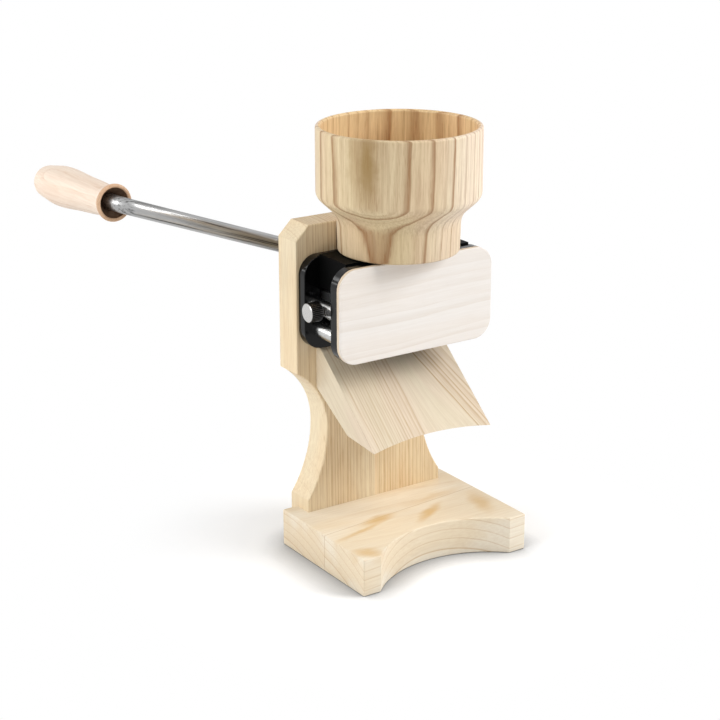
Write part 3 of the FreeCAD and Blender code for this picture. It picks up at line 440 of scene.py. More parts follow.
class FineMarks(SharedGroup):
    """Marks of making and handling on a hard surface. Place is in millimetres."""

    name = "fine_marks"
    inputs = {
        "Place": ("Vector", None),
        "Grain": ("Vector", (1.0, 1.0, 1.0)),
        "Cloud Size": ("Float", 18.0),
        "Low": ("Float", 0.2),
        "High": ("Float", 0.4),
    }
    outputs = {"Value": "Float", "Height": "Float"}
    SCRATCHED = 0.65  # the scratches' share of the value
    CLOUDED = 0.35  # the clouds' share
    SPREAD = (0.34, 0.66)  # the sum that gives the low value, and the one that gives the high value

    def build(self, graph: Graph, given: Callable[[str], Socket]) -> dict[str, Socket]:
        """Scratches as fine as Grain says, over slow clouds.

        Args:
            graph: The group's graph.
            given: Gives the group's input of a name.

        Returns:
            What each of the group's outputs puts out.
        """
        scratches = graph.noise(graph.vector("MULTIPLY", given("Place"), given("Grain")), detail=3.0, roughness=0.65)
        clouds = graph.noise(graph.vector("DIVIDE", given("Place"), given("Cloud Size")), detail=2.0, roughness=0.5)
        both = graph.math("ADD", graph.math("MULTIPLY", scratches, self.SCRATCHED),
                          graph.math("MULTIPLY", clouds, self.CLOUDED))
        value = graph.remap(both, *self.SPREAD, given("Low"), given("High"))
        return {"Value": value, "Height": scratches}


GLUED_BOARDS = GluedBoards()
PITH_DISTANCE = PithDistance()
YEARLY_RINGS = YearlyRings()
GRAINED_WOOD = GrainedWood()
STAIN = Stain()
AXIS_DISTANCE = AxisDistance()
FINE_MARKS = FineMarks()


class Cut(Enum):
    """The grain's direction in a piece, as the turns about X, Y and Z that bring it onto the Z axis, in degrees."""

    UPRIGHT = (0.0, 0.0, 0.0)
    SIDEWAYS = (0.0, -90.0, 0.0)
    DEPTHWISE = (90.0, 0.0, 0.0)
    SLOPING = (49.3, 0.0, 0.0)


class Finish:
    """One material: its shader, and where it is put."""

    name: str

    def shader(self, graph: Graph) -> bpy.types.Node:
        """Makes the material's nodes.

        Args:
            graph: The material's graph.

        Returns:
            The Principled node.
        """
        raise NotImplementedError

    def material(self) -> bpy.types.Material:
        """Makes the material when it is first asked for.

        Returns:
            The material.
        """
        found = bpy.data.materials.get("finish_" + self.name)
        if found:
            return found
        material = bpy.data.materials.new("finish_" + self.name)
        material.use_nodes = True
        material.node_tree.nodes.clear()
        graph = Graph(material.node_tree)
        principled = self.shader(graph)
        graph.add("OutputMaterial", {"Surface": principled.outputs[0]})
        return material

    def dress(self, *objects: bpy.types.Object) -> None:
        """Puts the material on every slot of some objects.

        Args:
            *objects: The objects.
        """
        for thing in objects:
            if not thing.data.materials:
                thing.data.materials.append(self.material())
            for slot in thing.material_slots:
                slot.material = self.material()


def place_in_millimetres(graph: Graph) -> Socket:
    """The place on the object, in millimetres."""
    return graph.scaled(graph.add("TexCoord").outputs["Object"], PER_METRE)


@dataclass(frozen=True)
class Seam:
    """Where two boards of one wood are glued.

    Attributes:
        across: Direction across the seam.
        place: The seam's place along that direction, in millimetres.
        shift: How far the second board's wood comes from elsewhere, in millimetres.
        tone: Colour that multiplies the second board.
        line: Colour that multiplies the seam itself.
        width: Width of the seam's line, in millimetres.
    """

    across: Point
    place: float
    shift: Point
    tone: Color = (1.0, 1.0, 1.0)
    line: Color = (0.72, 0.62, 0.5)
    width: float = 0.3


@dataclass(frozen=True)
class Flame:
    """A place where a wood is darker.

    Attributes:
        centre: Its middle, in millimetres.
        size: Its half sizes, in millimetres.
        turn: How far its length is turned from X, in degrees.
        strength: How dark it is.
        color: Its colour.
    """

    centre: Point
    size: Point
    turn: float
    strength: float
    color: Color = srgb(209, 172, 112)


@dataclass(frozen=True)
class Zone:
    """The part of a piece near an axis, coloured apart from the rest.

    Attributes:
        point: A point on the axis, in millimetres.
        axis: The axis's direction, of length 1.
        radius: The zone's limit, in millimetres from the axis.
        along: The zone's two ends along the axis, in millimetres from the point.
        color: Colour that multiplies the zone.
        outside: True if the zone is what lies beyond the radius.
        edge: Half the width of its edge, in millimetres.
    """

    point: Point
    axis: Point
    radius: float
    along: tuple[float, float]
    color: Color
    outside: bool = False
    edge: float = 0.15

    def tint(self, graph: Graph, place: Socket, color: Value) -> Socket:
        """Colours the zone.

        Args:
            graph: The material's graph.
            place: The place in millimetres.
            color: The colour so far.

        Returns:
            The colour with the zone in it.
        """
        split = AXIS_DISTANCE.use(graph, {"Place": place, "Point": self.point, "Axis": self.axis}).outputs
        limits = (self.radius - self.edge, self.radius + self.edge)
        mask = graph.remap(split["Radius"], *(limits if self.outside else limits[::-1]))
        for end, sign in zip(self.along, (1.0, -1.0)):
            past = graph.math("MULTIPLY", graph.math("SUBTRACT", split["Along"], end), sign)
            mask = graph.math("MULTIPLY", mask, graph.remap(past, -self.edge, self.edge))
        return graph.tinted(mask, color, self.color)


@dataclass(frozen=True)
class RegularYears:
    """Rings of about one width.

    Attributes:
        width: Width of a ring, in millimetres.
        start: Shifts the rings, in rings.
        drift: How uneven the rings are.
        band: The early wood's share of a ring.
        fine: Strength of the faint rings between them.
    """

    width: float = 4.0
    start: float = 0.0
    drift: float = 0.7
    band: float = 0.35
    fine: float = 0.15

    def rings(self, graph: Graph, radius: Socket) -> Socket:
        """Draws the rings.

        Args:
            graph: The material's graph.
            radius: The distance from the pith, in millimetres.

        Returns:
            How dark the rings are there.
        """
        return YEARLY_RINGS.use(graph, {
            "Radius": radius, "Ring Width": self.width, "Ring Start": self.start, "Drift": self.drift,
            "Band": self.band, "Fine Rings": self.fine,
        }).outputs["Rings"]


THINNEST_SKIN = 0.01  # depth at which the curve's second corner stands if there is no skin, in millimetres
SOFT_SIDE = ((1.0, 0.0), (0.5, 0.4))  # corners of a ring's soft side, as shares of its width and of its strength


@dataclass(frozen=True)
class CountedYears:
    """Rings counted one by one, from the outside in.

    Attributes:
        outside: Distance from the pith at which counting starts, in millimetres.
        depth: How deep the counting goes, in millimetres.
        rings_at: Each ring's depth and the width of its soft side in millimetres, and its strength.
        sharp: Width of a ring's sharp side, in millimetres.
        skin: Depth at which the dark ring that the outside cuts along has faded, and how dark it is outside.
    """

    outside: float
    depth: float
    rings_at: tuple[tuple[float, float, float], ...]
    sharp: float = 0.45
    skin: tuple[float, float] = (0.0, 0.0)

    def rings(self, graph: Graph, radius: Socket) -> Socket:
        """Draws the rings.

        Args:
            graph: The material's graph.
            radius: The distance from the pith, in millimetres.

        Returns:
            How dark the rings are there.
        """
        share = graph.math("DIVIDE", graph.math("SUBTRACT", self.outside, radius), self.depth)
        node = graph.add("FloatCurve", {"Value": share})
        curve = node.mapping.curves[0]
        corners = self.corners()
        for point, corner in zip(curve.points, (corners[0], (self.depth, 0.0))):
            point.location = (corner[0] / self.depth, corner[1])
        for depth, strength in corners[1:]:
            curve.points.new(depth / self.depth, strength)
        for point in curve.points:
            point.handle_type = "VECTOR"
        node.mapping.update()
        return node.outputs[0]

    def corners(self) -> list[tuple[float, float]]:
        """Works out the curve that the rings follow.

        Returns:
            Its corners, each a depth in millimetres and how dark the wood is there.
        """
        last, outermost = self.skin
        corners = [(0.0, outermost), (max(last, THINNEST_SKIN), 0.0)]
        for depth, soft, strength in self.rings_at:
            for part, left in SOFT_SIDE:
                if depth - soft * part > last:
                    corners.append((depth - soft * part, strength * left))
            corners += [(depth, strength), (depth + self.sharp, 0.0)]
            last = depth + self.sharp
        return corners


@dataclass(frozen=True)
class HeartToneAndShade:
    """Wood of another tone, deeper or less deep in the tree; on the hopper it also paints shade on the middle of the
    side that faces the camera.

    Attributes:
        reach: Distances from the pith between which it fades in, in millimetres.
        color: Colour that multiplies it.
    """

    reach: tuple[float, float]
    color: Color

    def tint(self, graph: Graph, radius: Socket, color: Value) -> Socket:
        """The colour with the other tone and its painted shade in it."""
        return graph.tinted(graph.remap(radius, *self.reach), color, self.color)


@dataclass(frozen=True)
class Lean:
    """Grain that leans more and more towards one side of a board.

    Attributes:
        across: Direction across the board.
        along: Direction along the board.
        foot: A point that stays where it is, in millimetres.
        reach: Where across the board the lean starts and where it is full, in millimetres.
        slope: The full lean.
    """

    across: Point
    along: Point
    foot: Point
    reach: tuple[float, float]
    slope: float

    def moved(self, graph: Graph, place: Socket) -> Socket:
        """Moves the place across the board, so that straight grain there leans here.

        Args:
            graph: The material's graph.
            place: The place in millimetres.

        Returns:
            The place in the log.
        """
        share = graph.remap(graph.dot(place, self.across), *self.reach, 0.0, self.slope)
        along = graph.dot(graph.vector("SUBTRACT", place, self.foot), self.along)
        return graph.vector("ADD", place, graph.scaled(self.across, graph.math("MULTIPLY", share, along)))


FACING_INWARDS = (-6.0, -1.0)  # between these a turned face counts less and less as inside, in millimetres


@dataclass(frozen=True)
class PaintedHollowShade:
    """The inside of a turned piece, with painted shade and painted warm reflected light on it.

    Attributes:
        axis: A point on the upright axis it was turned about, in millimetres.
        color: Colour that multiplies the inside, as painted shade and warm reflected light.
    """

    axis: Point
    color: Color

    def tint(self, graph: Graph, place: Socket, color: Value) -> Socket:
        """Paints shade and warm reflected light on the inside.

        Args:
            graph: The material's graph.
            place: The place in millimetres.
            color: The colour so far.

        Returns:
            The colour with the inside's painted shade and warm reflected light in it.
        """
        outwards = graph.vector("MULTIPLY", graph.vector("SUBTRACT", place, self.axis), FLAT)
        facing = graph.dot(graph.add("NewGeometry").outputs["True Normal"], outwards)
        mask = graph.remap(facing, *FACING_INWARDS, 1.0, 0.0)
        return graph.tinted(mask, color, self.color)


QUIET_FACING = (0.35, 0.95)  # from where to where a face turns quiet, as the cosine to the quiet direction
QUIET_RINGS = 0.2  # share of the rings' strength that is left there
PORE_ROUGHNESS = 0.2  # how much rougher the pores are
PORE_DEPTH = 0.8  # the pores' share of the relief
RING_DEPTH = 0.2  # the rings' share
WOOD_BUMP = 0.5  # strength of the bump in wood
WOOD_SPECULAR = 0.35  # plain reflection of waxed wood


@dataclass(frozen=True)
class WoodFinish(Finish):
    """Planed or turned wood.

    Attributes:
        name: The material's name.
        pale: Late wood.
        dark: Early wood, at the rings.
        blush: The colour that the pale wood drifts to.
        cut: Direction of the grain.
        pith: A point on the pith, in millimetres.
        years: The rings.
        tilt: Small turns of the pith about X, Y and Z, in degrees.
        wander: How far the rings wander, in millimetres.
        ripple: How far they ripple, in millimetres.
        rings: Strength of the rings.
        fibres: Strength of the streaks along the grain.
        pores: Strength of the pores.
        blushing: Strength of the drift to the second colour.
        roughness: Roughness of the finished surface.
        relief: Depth of the pores, in millimetres.
        quiet: The rings fade on faces that look along this direction.
        heart_tone_and_shade: Wood of another tone, if there is some, which also paints shade.
        lean: Grain that leans, if it does.
        seam: A glued seam, if there is one.
        flames: Places where the wood is darker.
        zones: Parts coloured apart.
    """

    name: str
    pale: Color
    dark: Color
    blush: Color
    cut: Cut
    pith: Point
    years: RegularYears | CountedYears
    tilt: Point = (0.0, 0.0, 0.0)
    wander: float = 3.0
    ripple: float = 0.7
    rings: float = 0.6
    fibres: float = 0.35
    pores: float = 0.35
    blushing: float = 0.4
    roughness: float = 0.5
    relief: float = 0.05
    quiet: Point = (0.0, 0.0, 0.0)
    heart_tone_and_shade: HeartToneAndShade | None = None
    lean: Lean | None = None
    seam: Seam | None = None
    flames: tuple[Flame, ...] = ()
    zones: tuple[Zone | PaintedHollowShade, ...] = ()

    def shader(self, graph: Graph) -> bpy.types.Node:
        """Makes the rings and pores of solid wood, with the pores as slight hollows.

        Args:
            graph: The material's graph.

        Returns:
            The Principled node.
        """
        place = place_in_millimetres(graph)
        boards, in_log = None, self.lean.moved(graph, place) if self.lean else place
        if self.seam:
            boards = GLUED_BOARDS.use(graph, {
                "Place": place, "Across": self.seam.across, "Seam": self.seam.place, "Shift": self.seam.shift,
                "Line": self.seam.width,
            })
            in_log = boards.outputs["Place"]
        from_pith = self.from_pith(graph, in_log)
        facing = graph.math("ABSOLUTE", graph.dot(graph.add("NewGeometry").outputs["True Normal"], self.quiet))
        strength = graph.remap(facing, *QUIET_FACING, self.rings, self.rings * QUIET_RINGS)
        distance = PITH_DISTANCE.use(graph, {"Place": from_pith, "Wander": self.wander, "Ripple": self.ripple})
        radius = distance.outputs["Radius"]
        rings = self.years.rings(graph, radius)
        wood = GRAINED_WOOD.use(graph, {
            "Place": from_pith, "Rings": rings, "Ring Strength": strength, "Fibre Strength": self.fibres,
            "Pore Strength": self.pores, "Blush Strength": self.blushing, "Pale": self.pale, "Dark": self.dark,
            "Blush": self.blush,
        })
        color, pores = wood.outputs["Color"], wood.outputs["Pores"]
        if self.heart_tone_and_shade:
            color = self.heart_tone_and_shade.tint(graph, radius, color)
        if boards:
            color = graph.tinted(boards.outputs["Side"], color, self.seam.tone)
            color = graph.tinted(boards.outputs["Line"], color, self.seam.line)
        color = self.with_places(graph, place, color)
        roughness = graph.remap(pores, 0.0, 1.0, self.roughness, min(1.0, self.roughness + PORE_ROUGHNESS))
        hollows = graph.math("ADD", graph.math("MULTIPLY", pores, PORE_DEPTH),
                             graph.math("MULTIPLY", rings, RING_DEPTH))
        bump = graph.add("Bump", {
            "Strength": WOOD_BUMP, "Distance": self.relief * MM, "Height": graph.math("SUBTRACT", 1.0, hollows),
        })
        return graph.add("BsdfPrincipled", {
            "Base Color": color, "Roughness": roughness, "Normal": bump.outputs[0],
            "Specular IOR Level": WOOD_SPECULAR,
        })

    def from_pith(self, graph: Graph, in_log: Socket) -> Socket:
        """Moves and turns a place, so that the pith is its Z axis.

        Args:
            graph: The material's graph.
            in_log: The place in the log, in millimetres.

        Returns:
            The place as seen from the pith.
        """
        place = graph.vector("SUBTRACT", in_log, self.pith)
        for turn in (self.tilt, self.cut.value):
            inputs = {"Vector": place, "Rotation": tuple(math.radians(angle) for angle in turn)}
            place = graph.add("VectorRotate", inputs, rotation_type="EULER_XYZ").outputs[0]
        return place

    def with_places(self, graph: Graph, place: Socket, color: Socket) -> Socket:
        """Colours the places that differ from the rest: flames and zones.

        Args:
            graph: The material's graph.
            place: The place in millimetres.
            color: The colour so far.

        Returns:
            The colour with the flames and zones in it.
        """
        for flame in self.flames:
            mask = STAIN.use(graph, {
                "Place": place, "Centre": flame.centre, "Size": flame.size, "Turn": math.radians(-flame.turn),
            }).outputs["Mask"]
            color = graph.mix(graph.math("MULTIPLY", mask, flame.strength), color, flame.color)
        for zone in self.zones:
            color = zone.tint(graph, place, color)
        return color


HARD_BUMP = 0.4  # strength of the bump in the marks of a hard surface
MARK_EDGE = (0.45, 0.7)  # height between which a mark takes its shade


@dataclass(frozen=True)
class HardFinish(Finish):
    """Metal or plastic with marks of making and handling; on the rod the marks also paint dark reflection bands.

    Attributes:
        name: The material's name.
        color: Base colour.
        metallic: 1 for metal, 0 for plastic.
        low: Roughness where it is smoothest.
        high: Roughness where it is roughest.
        grain: How fine the marks are along X, Y and Z, in marks a millimetre.
        shade: Colour in the marks; on the rod it is also a painted dark reflection.
        shading: Strength of that colour.
        relief: Depth of the marks, in millimetres.
        turn: How far the marks are turned about Y, in degrees.
        specular: Strength of the plain reflection.
        zones: Parts coloured apart.
    """

    name: str
    color: Color
    metallic: float
    low: float
    high: float
    grain: Point = (1.0, 1.0, 1.0)
    shade: Color = (0.2, 0.2, 0.2)
    shading: float = 0.2
    relief: float = 0.004
    turn: float = 0.0
    specular: float = 0.5
    zones: tuple[Zone, ...] = ()

    def shader(self, graph: Graph) -> bpy.types.Node:
        """Makes a roughness and a colour that follow the marks, which on the rod are also painted reflection bands.

        Args:
            graph: The material's graph.

        Returns:
            The Principled node.
        """
        place = place_in_millimetres(graph)
        angle = math.radians(self.turn)
        turned = graph.add("VectorRotate", {"Vector": place, "Angle": angle}, rotation_type="Y_AXIS").outputs[0]
        marks = FINE_MARKS.use(graph, {"Place": turned, "Grain": self.grain, "Low": self.low, "High": self.high})
        height = marks.outputs["Height"]
        share = graph.math("MULTIPLY", graph.remap(height, *MARK_EDGE), self.shading)
        color = graph.mix(share, self.color, self.shade)
        for zone in self.zones:
            color = zone.tint(graph, place, color)
        bump = graph.add("Bump", {"Strength": HARD_BUMP, "Distance": self.relief * MM, "Height": height})
        return graph.add("BsdfPrincipled", {
            "Base Color": color, "Metallic": self.metallic, "Roughness": marks.outputs["Value"],
            "Normal": bump.outputs[0], "Specular IOR Level": self.specular,
        })


# Rings counted from the outside in: each one's depth, the width of its soft side (both in millimetres), its strength.
HOPPER_RINGS = (
    (2.8, 1.0, 0.22), (5.6, 1.9, 0.9), (9.0, 1.2, 0.2), (13.9, 2.1, 0.9), (20.0, 1.5, 0.22), (24.6, 2.1, 1.0),
    (29.5, 1.2, 0.2), (33.9, 1.8, 0.5), (38.0, 1.2, 0.2), (42.3, 1.8, 0.65), (46.0, 1.5, 0.22), (50.0, 1.8, 0.55),
    (57.0, 2.0, 0.55), (63.0, 1.6, 0.35), (70.0, 2.0, 0.6), (76.0, 1.6, 0.4), (82.0, 2.0, 0.55), (87.0, 1.6, 0.3),
    (91.5, 5.0, 0.8), (95.0, 1.2, 0.3), (97.4, 2.2, 0.7), (99.4, 1.4, 0.5),
)
HOPPER_AXIS = (0.0, 7.5, 0.0)  # a point on the hopper's upright axis, in millimetres
HOPPER_WOOD = WoodFinish(
    "hopper_ash", pale=srgb(233, 218, 194), dark=srgb(150, 102, 56), blush=srgb(232, 210, 190), cut=Cut.UPRIGHT,
    pith=(502.6, 335.2, 235.0), tilt=(0.6, -0.9, 0.0),
    years=CountedYears(outside=650.9, depth=104.0, rings_at=HOPPER_RINGS, skin=(1.5, 0.38)),
    wander=4.5, ripple=1.5, rings=0.9, fibres=0.36, pores=0.58, blushing=0.7, roughness=0.5,
    # The heart tone also paints shade on the middle of the hopper's side that faces the camera.
    heart_tone_and_shade=HeartToneAndShade(reach=(616.0, 640.0), color=(0.87, 0.83, 0.68)),
    flames=(
        Flame(centre=(-42.6, -20.3, 260.0), size=(9.0, 14.0, 30.0), turn=-56.9, strength=0.78,
              color=srgb(146, 116, 62)),
        Flame(centre=(-47.0, -12.0, 262.0), size=(5.0, 12.0, 34.0), turn=-56.9, strength=0.35,
              color=srgb(160, 130, 78)),
    ),
    zones=(
        # Painted shade on the hopper's lower part round the neck, under the flare.
        Zone(point=HOPPER_AXIS, axis=(0.0, 0.0, 1.0), radius=80.0, along=(150.0, 222.0), color=(0.90, 0.87, 0.80),
             edge=7.0),
        # Painted shade and warm reflected light inside the hopper's bowl.
        PaintedHollowShade(axis=HOPPER_AXIS, color=(0.99, 0.86, 0.61)),
    ),
)
POST_WOOD = WoodFinish(
    "post_ash", pale=srgb(233, 218, 187), dark=srgb(180, 140, 88), blush=srgb(231, 206, 167), cut=Cut.UPRIGHT,
    pith=(-190.0, 60.0, 0.0), years=RegularYears(width=2.2, drift=1.0, band=0.7, fine=0.1), tilt=(0.4, 0.3, 0.0),
    wander=2.4, rings=0.46, fibres=0.28, pores=0.4, blushing=0.6, roughness=0.52, quiet=(1.0, 0.0, 0.0),
    seam=Seam(across=(1.0, 0.0, 0.0), place=0.3, shift=(-41.0, 6.0, 87.0), tone=(0.97, 0.92, 0.85),
              line=(1.1, 1.12, 1.16), width=1.6),
)
BASE_WOOD = WoodFinish(
    "base_ash", pale=srgb(237, 228, 210), dark=srgb(196, 160, 112), blush=srgb(228, 208, 174), cut=Cut.SIDEWAYS,
    pith=(0.0, 18.0, -98.0), years=RegularYears(width=6.0, start=0.35, drift=0.35, band=0.14, fine=0.08),
    tilt=(0.0, 1.8, 2.0), wander=6.0, rings=0.78, fibres=0.2, pores=0.2, blushing=0.6, roughness=0.5,
    quiet=(0.0, 0.0, 1.0),
    seam=Seam(across=(-0.0872, 0.9962, 0.0), place=2.6, shift=(60.0, -37.0, 9.0), tone=(0.985, 0.97, 0.95)),
    flames=(
        Flame(centre=(13.0, -10.0, 24.0), size=(21.0, 5.0, 9.0), turn=32.0, strength=0.8),
        Flame(centre=(50.0, -16.0, 24.0), size=(21.0, 8.5, 9.0), turn=71.0, strength=0.65),
        Flame(centre=(-54.0, -39.0, 24.0), size=(14.0, 8.5, 8.0), turn=-35.0, strength=0.7),
        Flame(centre=(-21.0, -1.0, 24.0), size=(17.0, 5.5, 9.0), turn=8.0, strength=0.8),
        Flame(centre=(-38.0, -10.0, 24.0), size=(32.0, 3.2, 6.0), turn=14.0, strength=0.65),
        Flame(centre=(30.0, 9.0, 24.0), size=(34.0, 5.0, 6.0), turn=6.0, strength=0.4),
    ),
)
CHUTE_RINGS = (
    (7.0, 0.8, 0.5), (8.8, 0.8, 0.3), (10.9, 0.9, 0.55), (12.8, 0.8, 0.35), (14.4, 0.7, 0.5), (16.7, 0.9, 0.3),
    (18.6, 0.9, 0.6), (20.5, 0.8, 0.35), (22.2, 0.8, 0.5), (24.4, 0.9, 0.35), (26.0, 0.8, 0.55), (28.3, 0.9, 0.4),
    (30.4, 1.0, 0.6), (32.3, 0.9, 0.35), (34.7, 1.2, 0.55), (37.2, 1.2, 0.3), (40.0, 1.6, 0.5), (43.4, 2.4, 0.6),
    (84.4, 1.1, 0.95), (87.2, 1.6, 0.3), (90.6, 3.0, 0.62), (93.4, 1.2, 0.9), (97.8, 3.6, 0.5), (101.0, 1.4, 0.85),
    (107.0, 3.0, 0.4), (112.0, 2.4, 0.6),
)
CHUTE_WOOD = WoodFinish(
    "chute_ash", pale=srgb(217, 204, 179), dark=srgb(168, 128, 66), blush=srgb(219, 201, 179), cut=Cut.SLOPING,
    pith=(600.0, 20.0, 60.0), years=CountedYears(outside=650.0, depth=120.0, rings_at=CHUTE_RINGS),
    wander=7.0, ripple=3.2, rings=0.85, fibres=0.22, pores=0.3, blushing=0.8, roughness=0.5, quiet=(1.0, 0.0, 0.0),
    lean=Lean(across=(1.0, 0.0, 0.0), along=(0.0, 0.758, 0.652), foot=(0.0, -31.4, 84.1), reach=(-6.0, 18.0),
              slope=0.31),
)
COVER_WOOD = WoodFinish(
    "cover_maple", pale=srgb(231, 226, 221), dark=srgb(206, 192, 175), blush=srgb(230, 222, 214), cut=Cut.SIDEWAYS,
    pith=(0.0, 60.0, 60.0), years=RegularYears(width=6.5, drift=0.9, band=0.8, fine=0.1), wander=16.0, ripple=2.0,
    rings=0.3, fibres=0.14, pores=0.16, blushing=0.7, roughness=0.48, relief=0.02,
    zones=(
        Zone(point=(0.0, -12.2, 0.0), axis=(0.0, 1.0, 0.0), radius=0.0, along=(0.0, 5.0), color=(0.86, 0.75, 0.60),
             outside=True),
    ),
)
GRIP_AXIS = (0.0, 0.998719, -0.050593)  # direction of the grip's axis
GRIP_MOUTH = (-149.028, 93.79, 229.449)  # the grip's end at the rod's bend, on its axis, in millimetres
GRIP_WOOD = WoodFinish(
    "grip_beech", pale=srgb(233, 217, 200), dark=srgb(203, 168, 136), blush=srgb(231, 209, 190), cut=Cut.DEPTHWISE,
    pith=(-190.0, 120.0, 262.0), years=RegularYears(width=4.0, drift=0.6, band=0.5, fine=0.1), wander=4.0, rings=0.35,
    fibres=0.3, pores=0.4, blushing=0.6, roughness=0.46, relief=0.03,
    zones=(
        Zone(point=GRIP_MOUTH, axis=GRIP_AXIS, radius=30.0, along=(-2.0, 2.6), color=(0.80, 0.64, 0.50)),
        # Painted shade inside the grip's bore, round the rod.
        Zone(point=GRIP_MOUTH, axis=GRIP_AXIS, radius=9.4, along=(-2.0, 110.0), color=(0.24, 0.18, 0.14)),
    ),
)
PLATE_BLACK = HardFinish(
    "plate_black", color=(0.002, 0.002, 0.0022), metallic=0.0, low=0.10, high=0.20, grain=(0.9, 0.9, 0.9),
    shade=(0.005, 0.005, 0.006), shading=0.4, relief=0.002, specular=0.22,
)
FEED_BLACK = HardFinish(
    "feed_black", color=(0.001, 0.001, 0.001), metallic=0.0, low=0.45, high=0.62, grain=(2.5, 2.5, 2.5),
    shade=(0.003, 0.003, 0.003), shading=0.5, relief=0.01, specular=0.05,
)
# Its dark lengthwise marks are partly the steel's real streaks and partly painted reflection: dark bands along the
# rod in place of what it mirrors.
ROD_STEEL_PAINTED_BANDS = HardFinish(
    "rod_steel", color=srgb(176, 176, 176), metallic=1.0, low=0.3, high=0.44, grain=(0.012, 0.8, 0.8),
    shade=srgb(60, 59, 58), shading=0.85, relief=0.003, turn=-20.4,
)
BAR_STEEL = HardFinish(
    "bar_steel", color=srgb(200, 200, 199), metallic=1.0, low=0.15, high=0.27, grain=(4.0, 0.4, 4.0),
    shade=srgb(150, 150, 150), shading=0.35, relief=0.002,
)
ROLLER_STEEL = HardFinish(
    "roller_steel", color=srgb(170, 170, 168), metallic=1.0, low=0.22, high=0.40, grain=(3.0, 0.5, 3.0),
    shade=srgb(110, 108, 104), shading=0.5, relief=0.004,
)
CARRIAGE_ALUMINIUM = HardFinish(
    "carriage_aluminium", color=srgb(196, 197, 199), metallic=1.0, low=0.28, high=0.45, grain=(3.0, 0.3, 3.0),
    shade=srgb(150, 150, 152), shading=0.4, relief=0.004,
)
BUSH_BRONZE = HardFinish(
    "bush_bronze", color=srgb(186, 148, 92), metallic=1.0, low=0.28, high=0.46, grain=(4.0, 4.0, 4.0),
    shade=srgb(120, 90, 52), shading=0.5, relief=0.004,
)
SCREW_ZINC = HardFinish(
    "screw_zinc", color=srgb(198, 200, 204), metallic=1.0, low=0.20, high=0.36, grain=(3.0, 3.0, 3.0),
    shade=srgb(140, 142, 146), shading=0.4, relief=0.003,
)
SCREW_DARK = HardFinish(
    "screw_dark", color=srgb(64, 63, 62), metallic=1.0, low=0.30, high=0.48, grain=(3.0, 3.0, 3.0),
    shade=srgb(34, 33, 32), shading=0.5, relief=0.003,
)
KNOB_STEEL = HardFinish(
    "knob_steel", color=srgb(206, 205, 203), metallic=1.0, low=0.22, high=0.38, grain=(0.5, 4.0, 4.0),
    shade=srgb(150, 148, 145), shading=0.4, relief=0.003,
    zones=(
        Zone(point=(-64.6, 11.4, 166.1), axis=(-1.0, 0.0, 0.0), radius=5.75, along=(-9.0, 1.0),
             color=(0.10, 0.10, 0.105), outside=True),
    ),
)


@dataclass
class Assembly:
    """A sub-assembly. Its nodes keep their CAD shape and get their finish here, node by node."""

    finishes: dict[str, Finish] = field(default_factory=dict)

    def build(self) -> None:
        """Dresses every node and reports it."""
        for node, finish in self.finishes.items():
            finish.dress(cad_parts[node])
            LOG.info("dressed %s in %s", node, finish.name)


@dataclass
class Stand(Assembly):
    """The base board, the post and the screws that join them."""

    finishes: dict[str, Finish] = field(default_factory=lambda: {
        "base_board": BASE_WOOD, "post": POST_WOOD, "wood_screws": SCREW_ZINC,
    })


@dataclass
class Housing(Assembly):
    """The two black plates, what holds them apart, and the cover."""

    finishes: dict[str, Finish] = field(default_factory=lambda: {
        "back_plate": PLATE_BLACK, "front_plate": PLATE_BLACK, "front_cover": COVER_WOOD, "feed_block": FEED_BLACK,
        "screw_bar": BAR_STEEL, "tie_bars": BAR_STEEL, "plate_screws": SCREW_DARK, "housing_bolts": SCREW_ZINC,
        "housing_washers": SCREW_ZINC, "post_bush": BUSH_BRONZE, "back_bush": BUSH_BRONZE, "front_bush": BUSH_BRONZE,
    })


@dataclass
class Mill(Assembly):
    """The rollers, the carriage of the adjustable one, and the gap screw."""

    finishes: dict[str, Finish] = field(default_factory=lambda: {
        "drive_roller": ROLLER_STEEL, "roller_set_screw": SCREW_DARK, "idler_roller": ROLLER_STEEL,
        "idler_axle": ROD_STEEL_PAINTED_BANDS, "front_bearing_block": CARRIAGE_ALUMINIUM,
        "back_bearing_block": CARRIAGE_ALUMINIUM, "yoke": CARRIAGE_ALUMINIUM, "gap_spindle": BAR_STEEL,
        "gap_knob": KNOB_STEEL,
    })


@dataclass
class Crank(Assembly):
    """The bent rod and its loose grip."""

    finishes: dict[str, Finish] = field(default_factory=lambda: {
        "crank_rod": ROD_STEEL_PAINTED_BANDS, "grip": GRIP_WOOD, "grip_screw": SCREW_ZINC, "grip_washer": SCREW_ZINC,
    })


@dataclass
class Hopper(Assembly):
    """The turned hopper."""

    finishes: dict[str, Finish] = field(default_factory=lambda: {"hopper": HOPPER_WOOD})


@dataclass
class Chute(Assembly):
    """The board that the flakes slide down."""

    finishes: dict[str, Finish] = field(default_factory=lambda: {"chute": CHUTE_WOOD})


@dataclass
class Lamp:
    """A soft lamp.

    Attributes:
        name: Its name.
        place: Where it stands.
        size: Width and height of its face.
        watts: Its power.
    """

    name: str
    place: Point
    size: tuple[float, float]
    watts: float


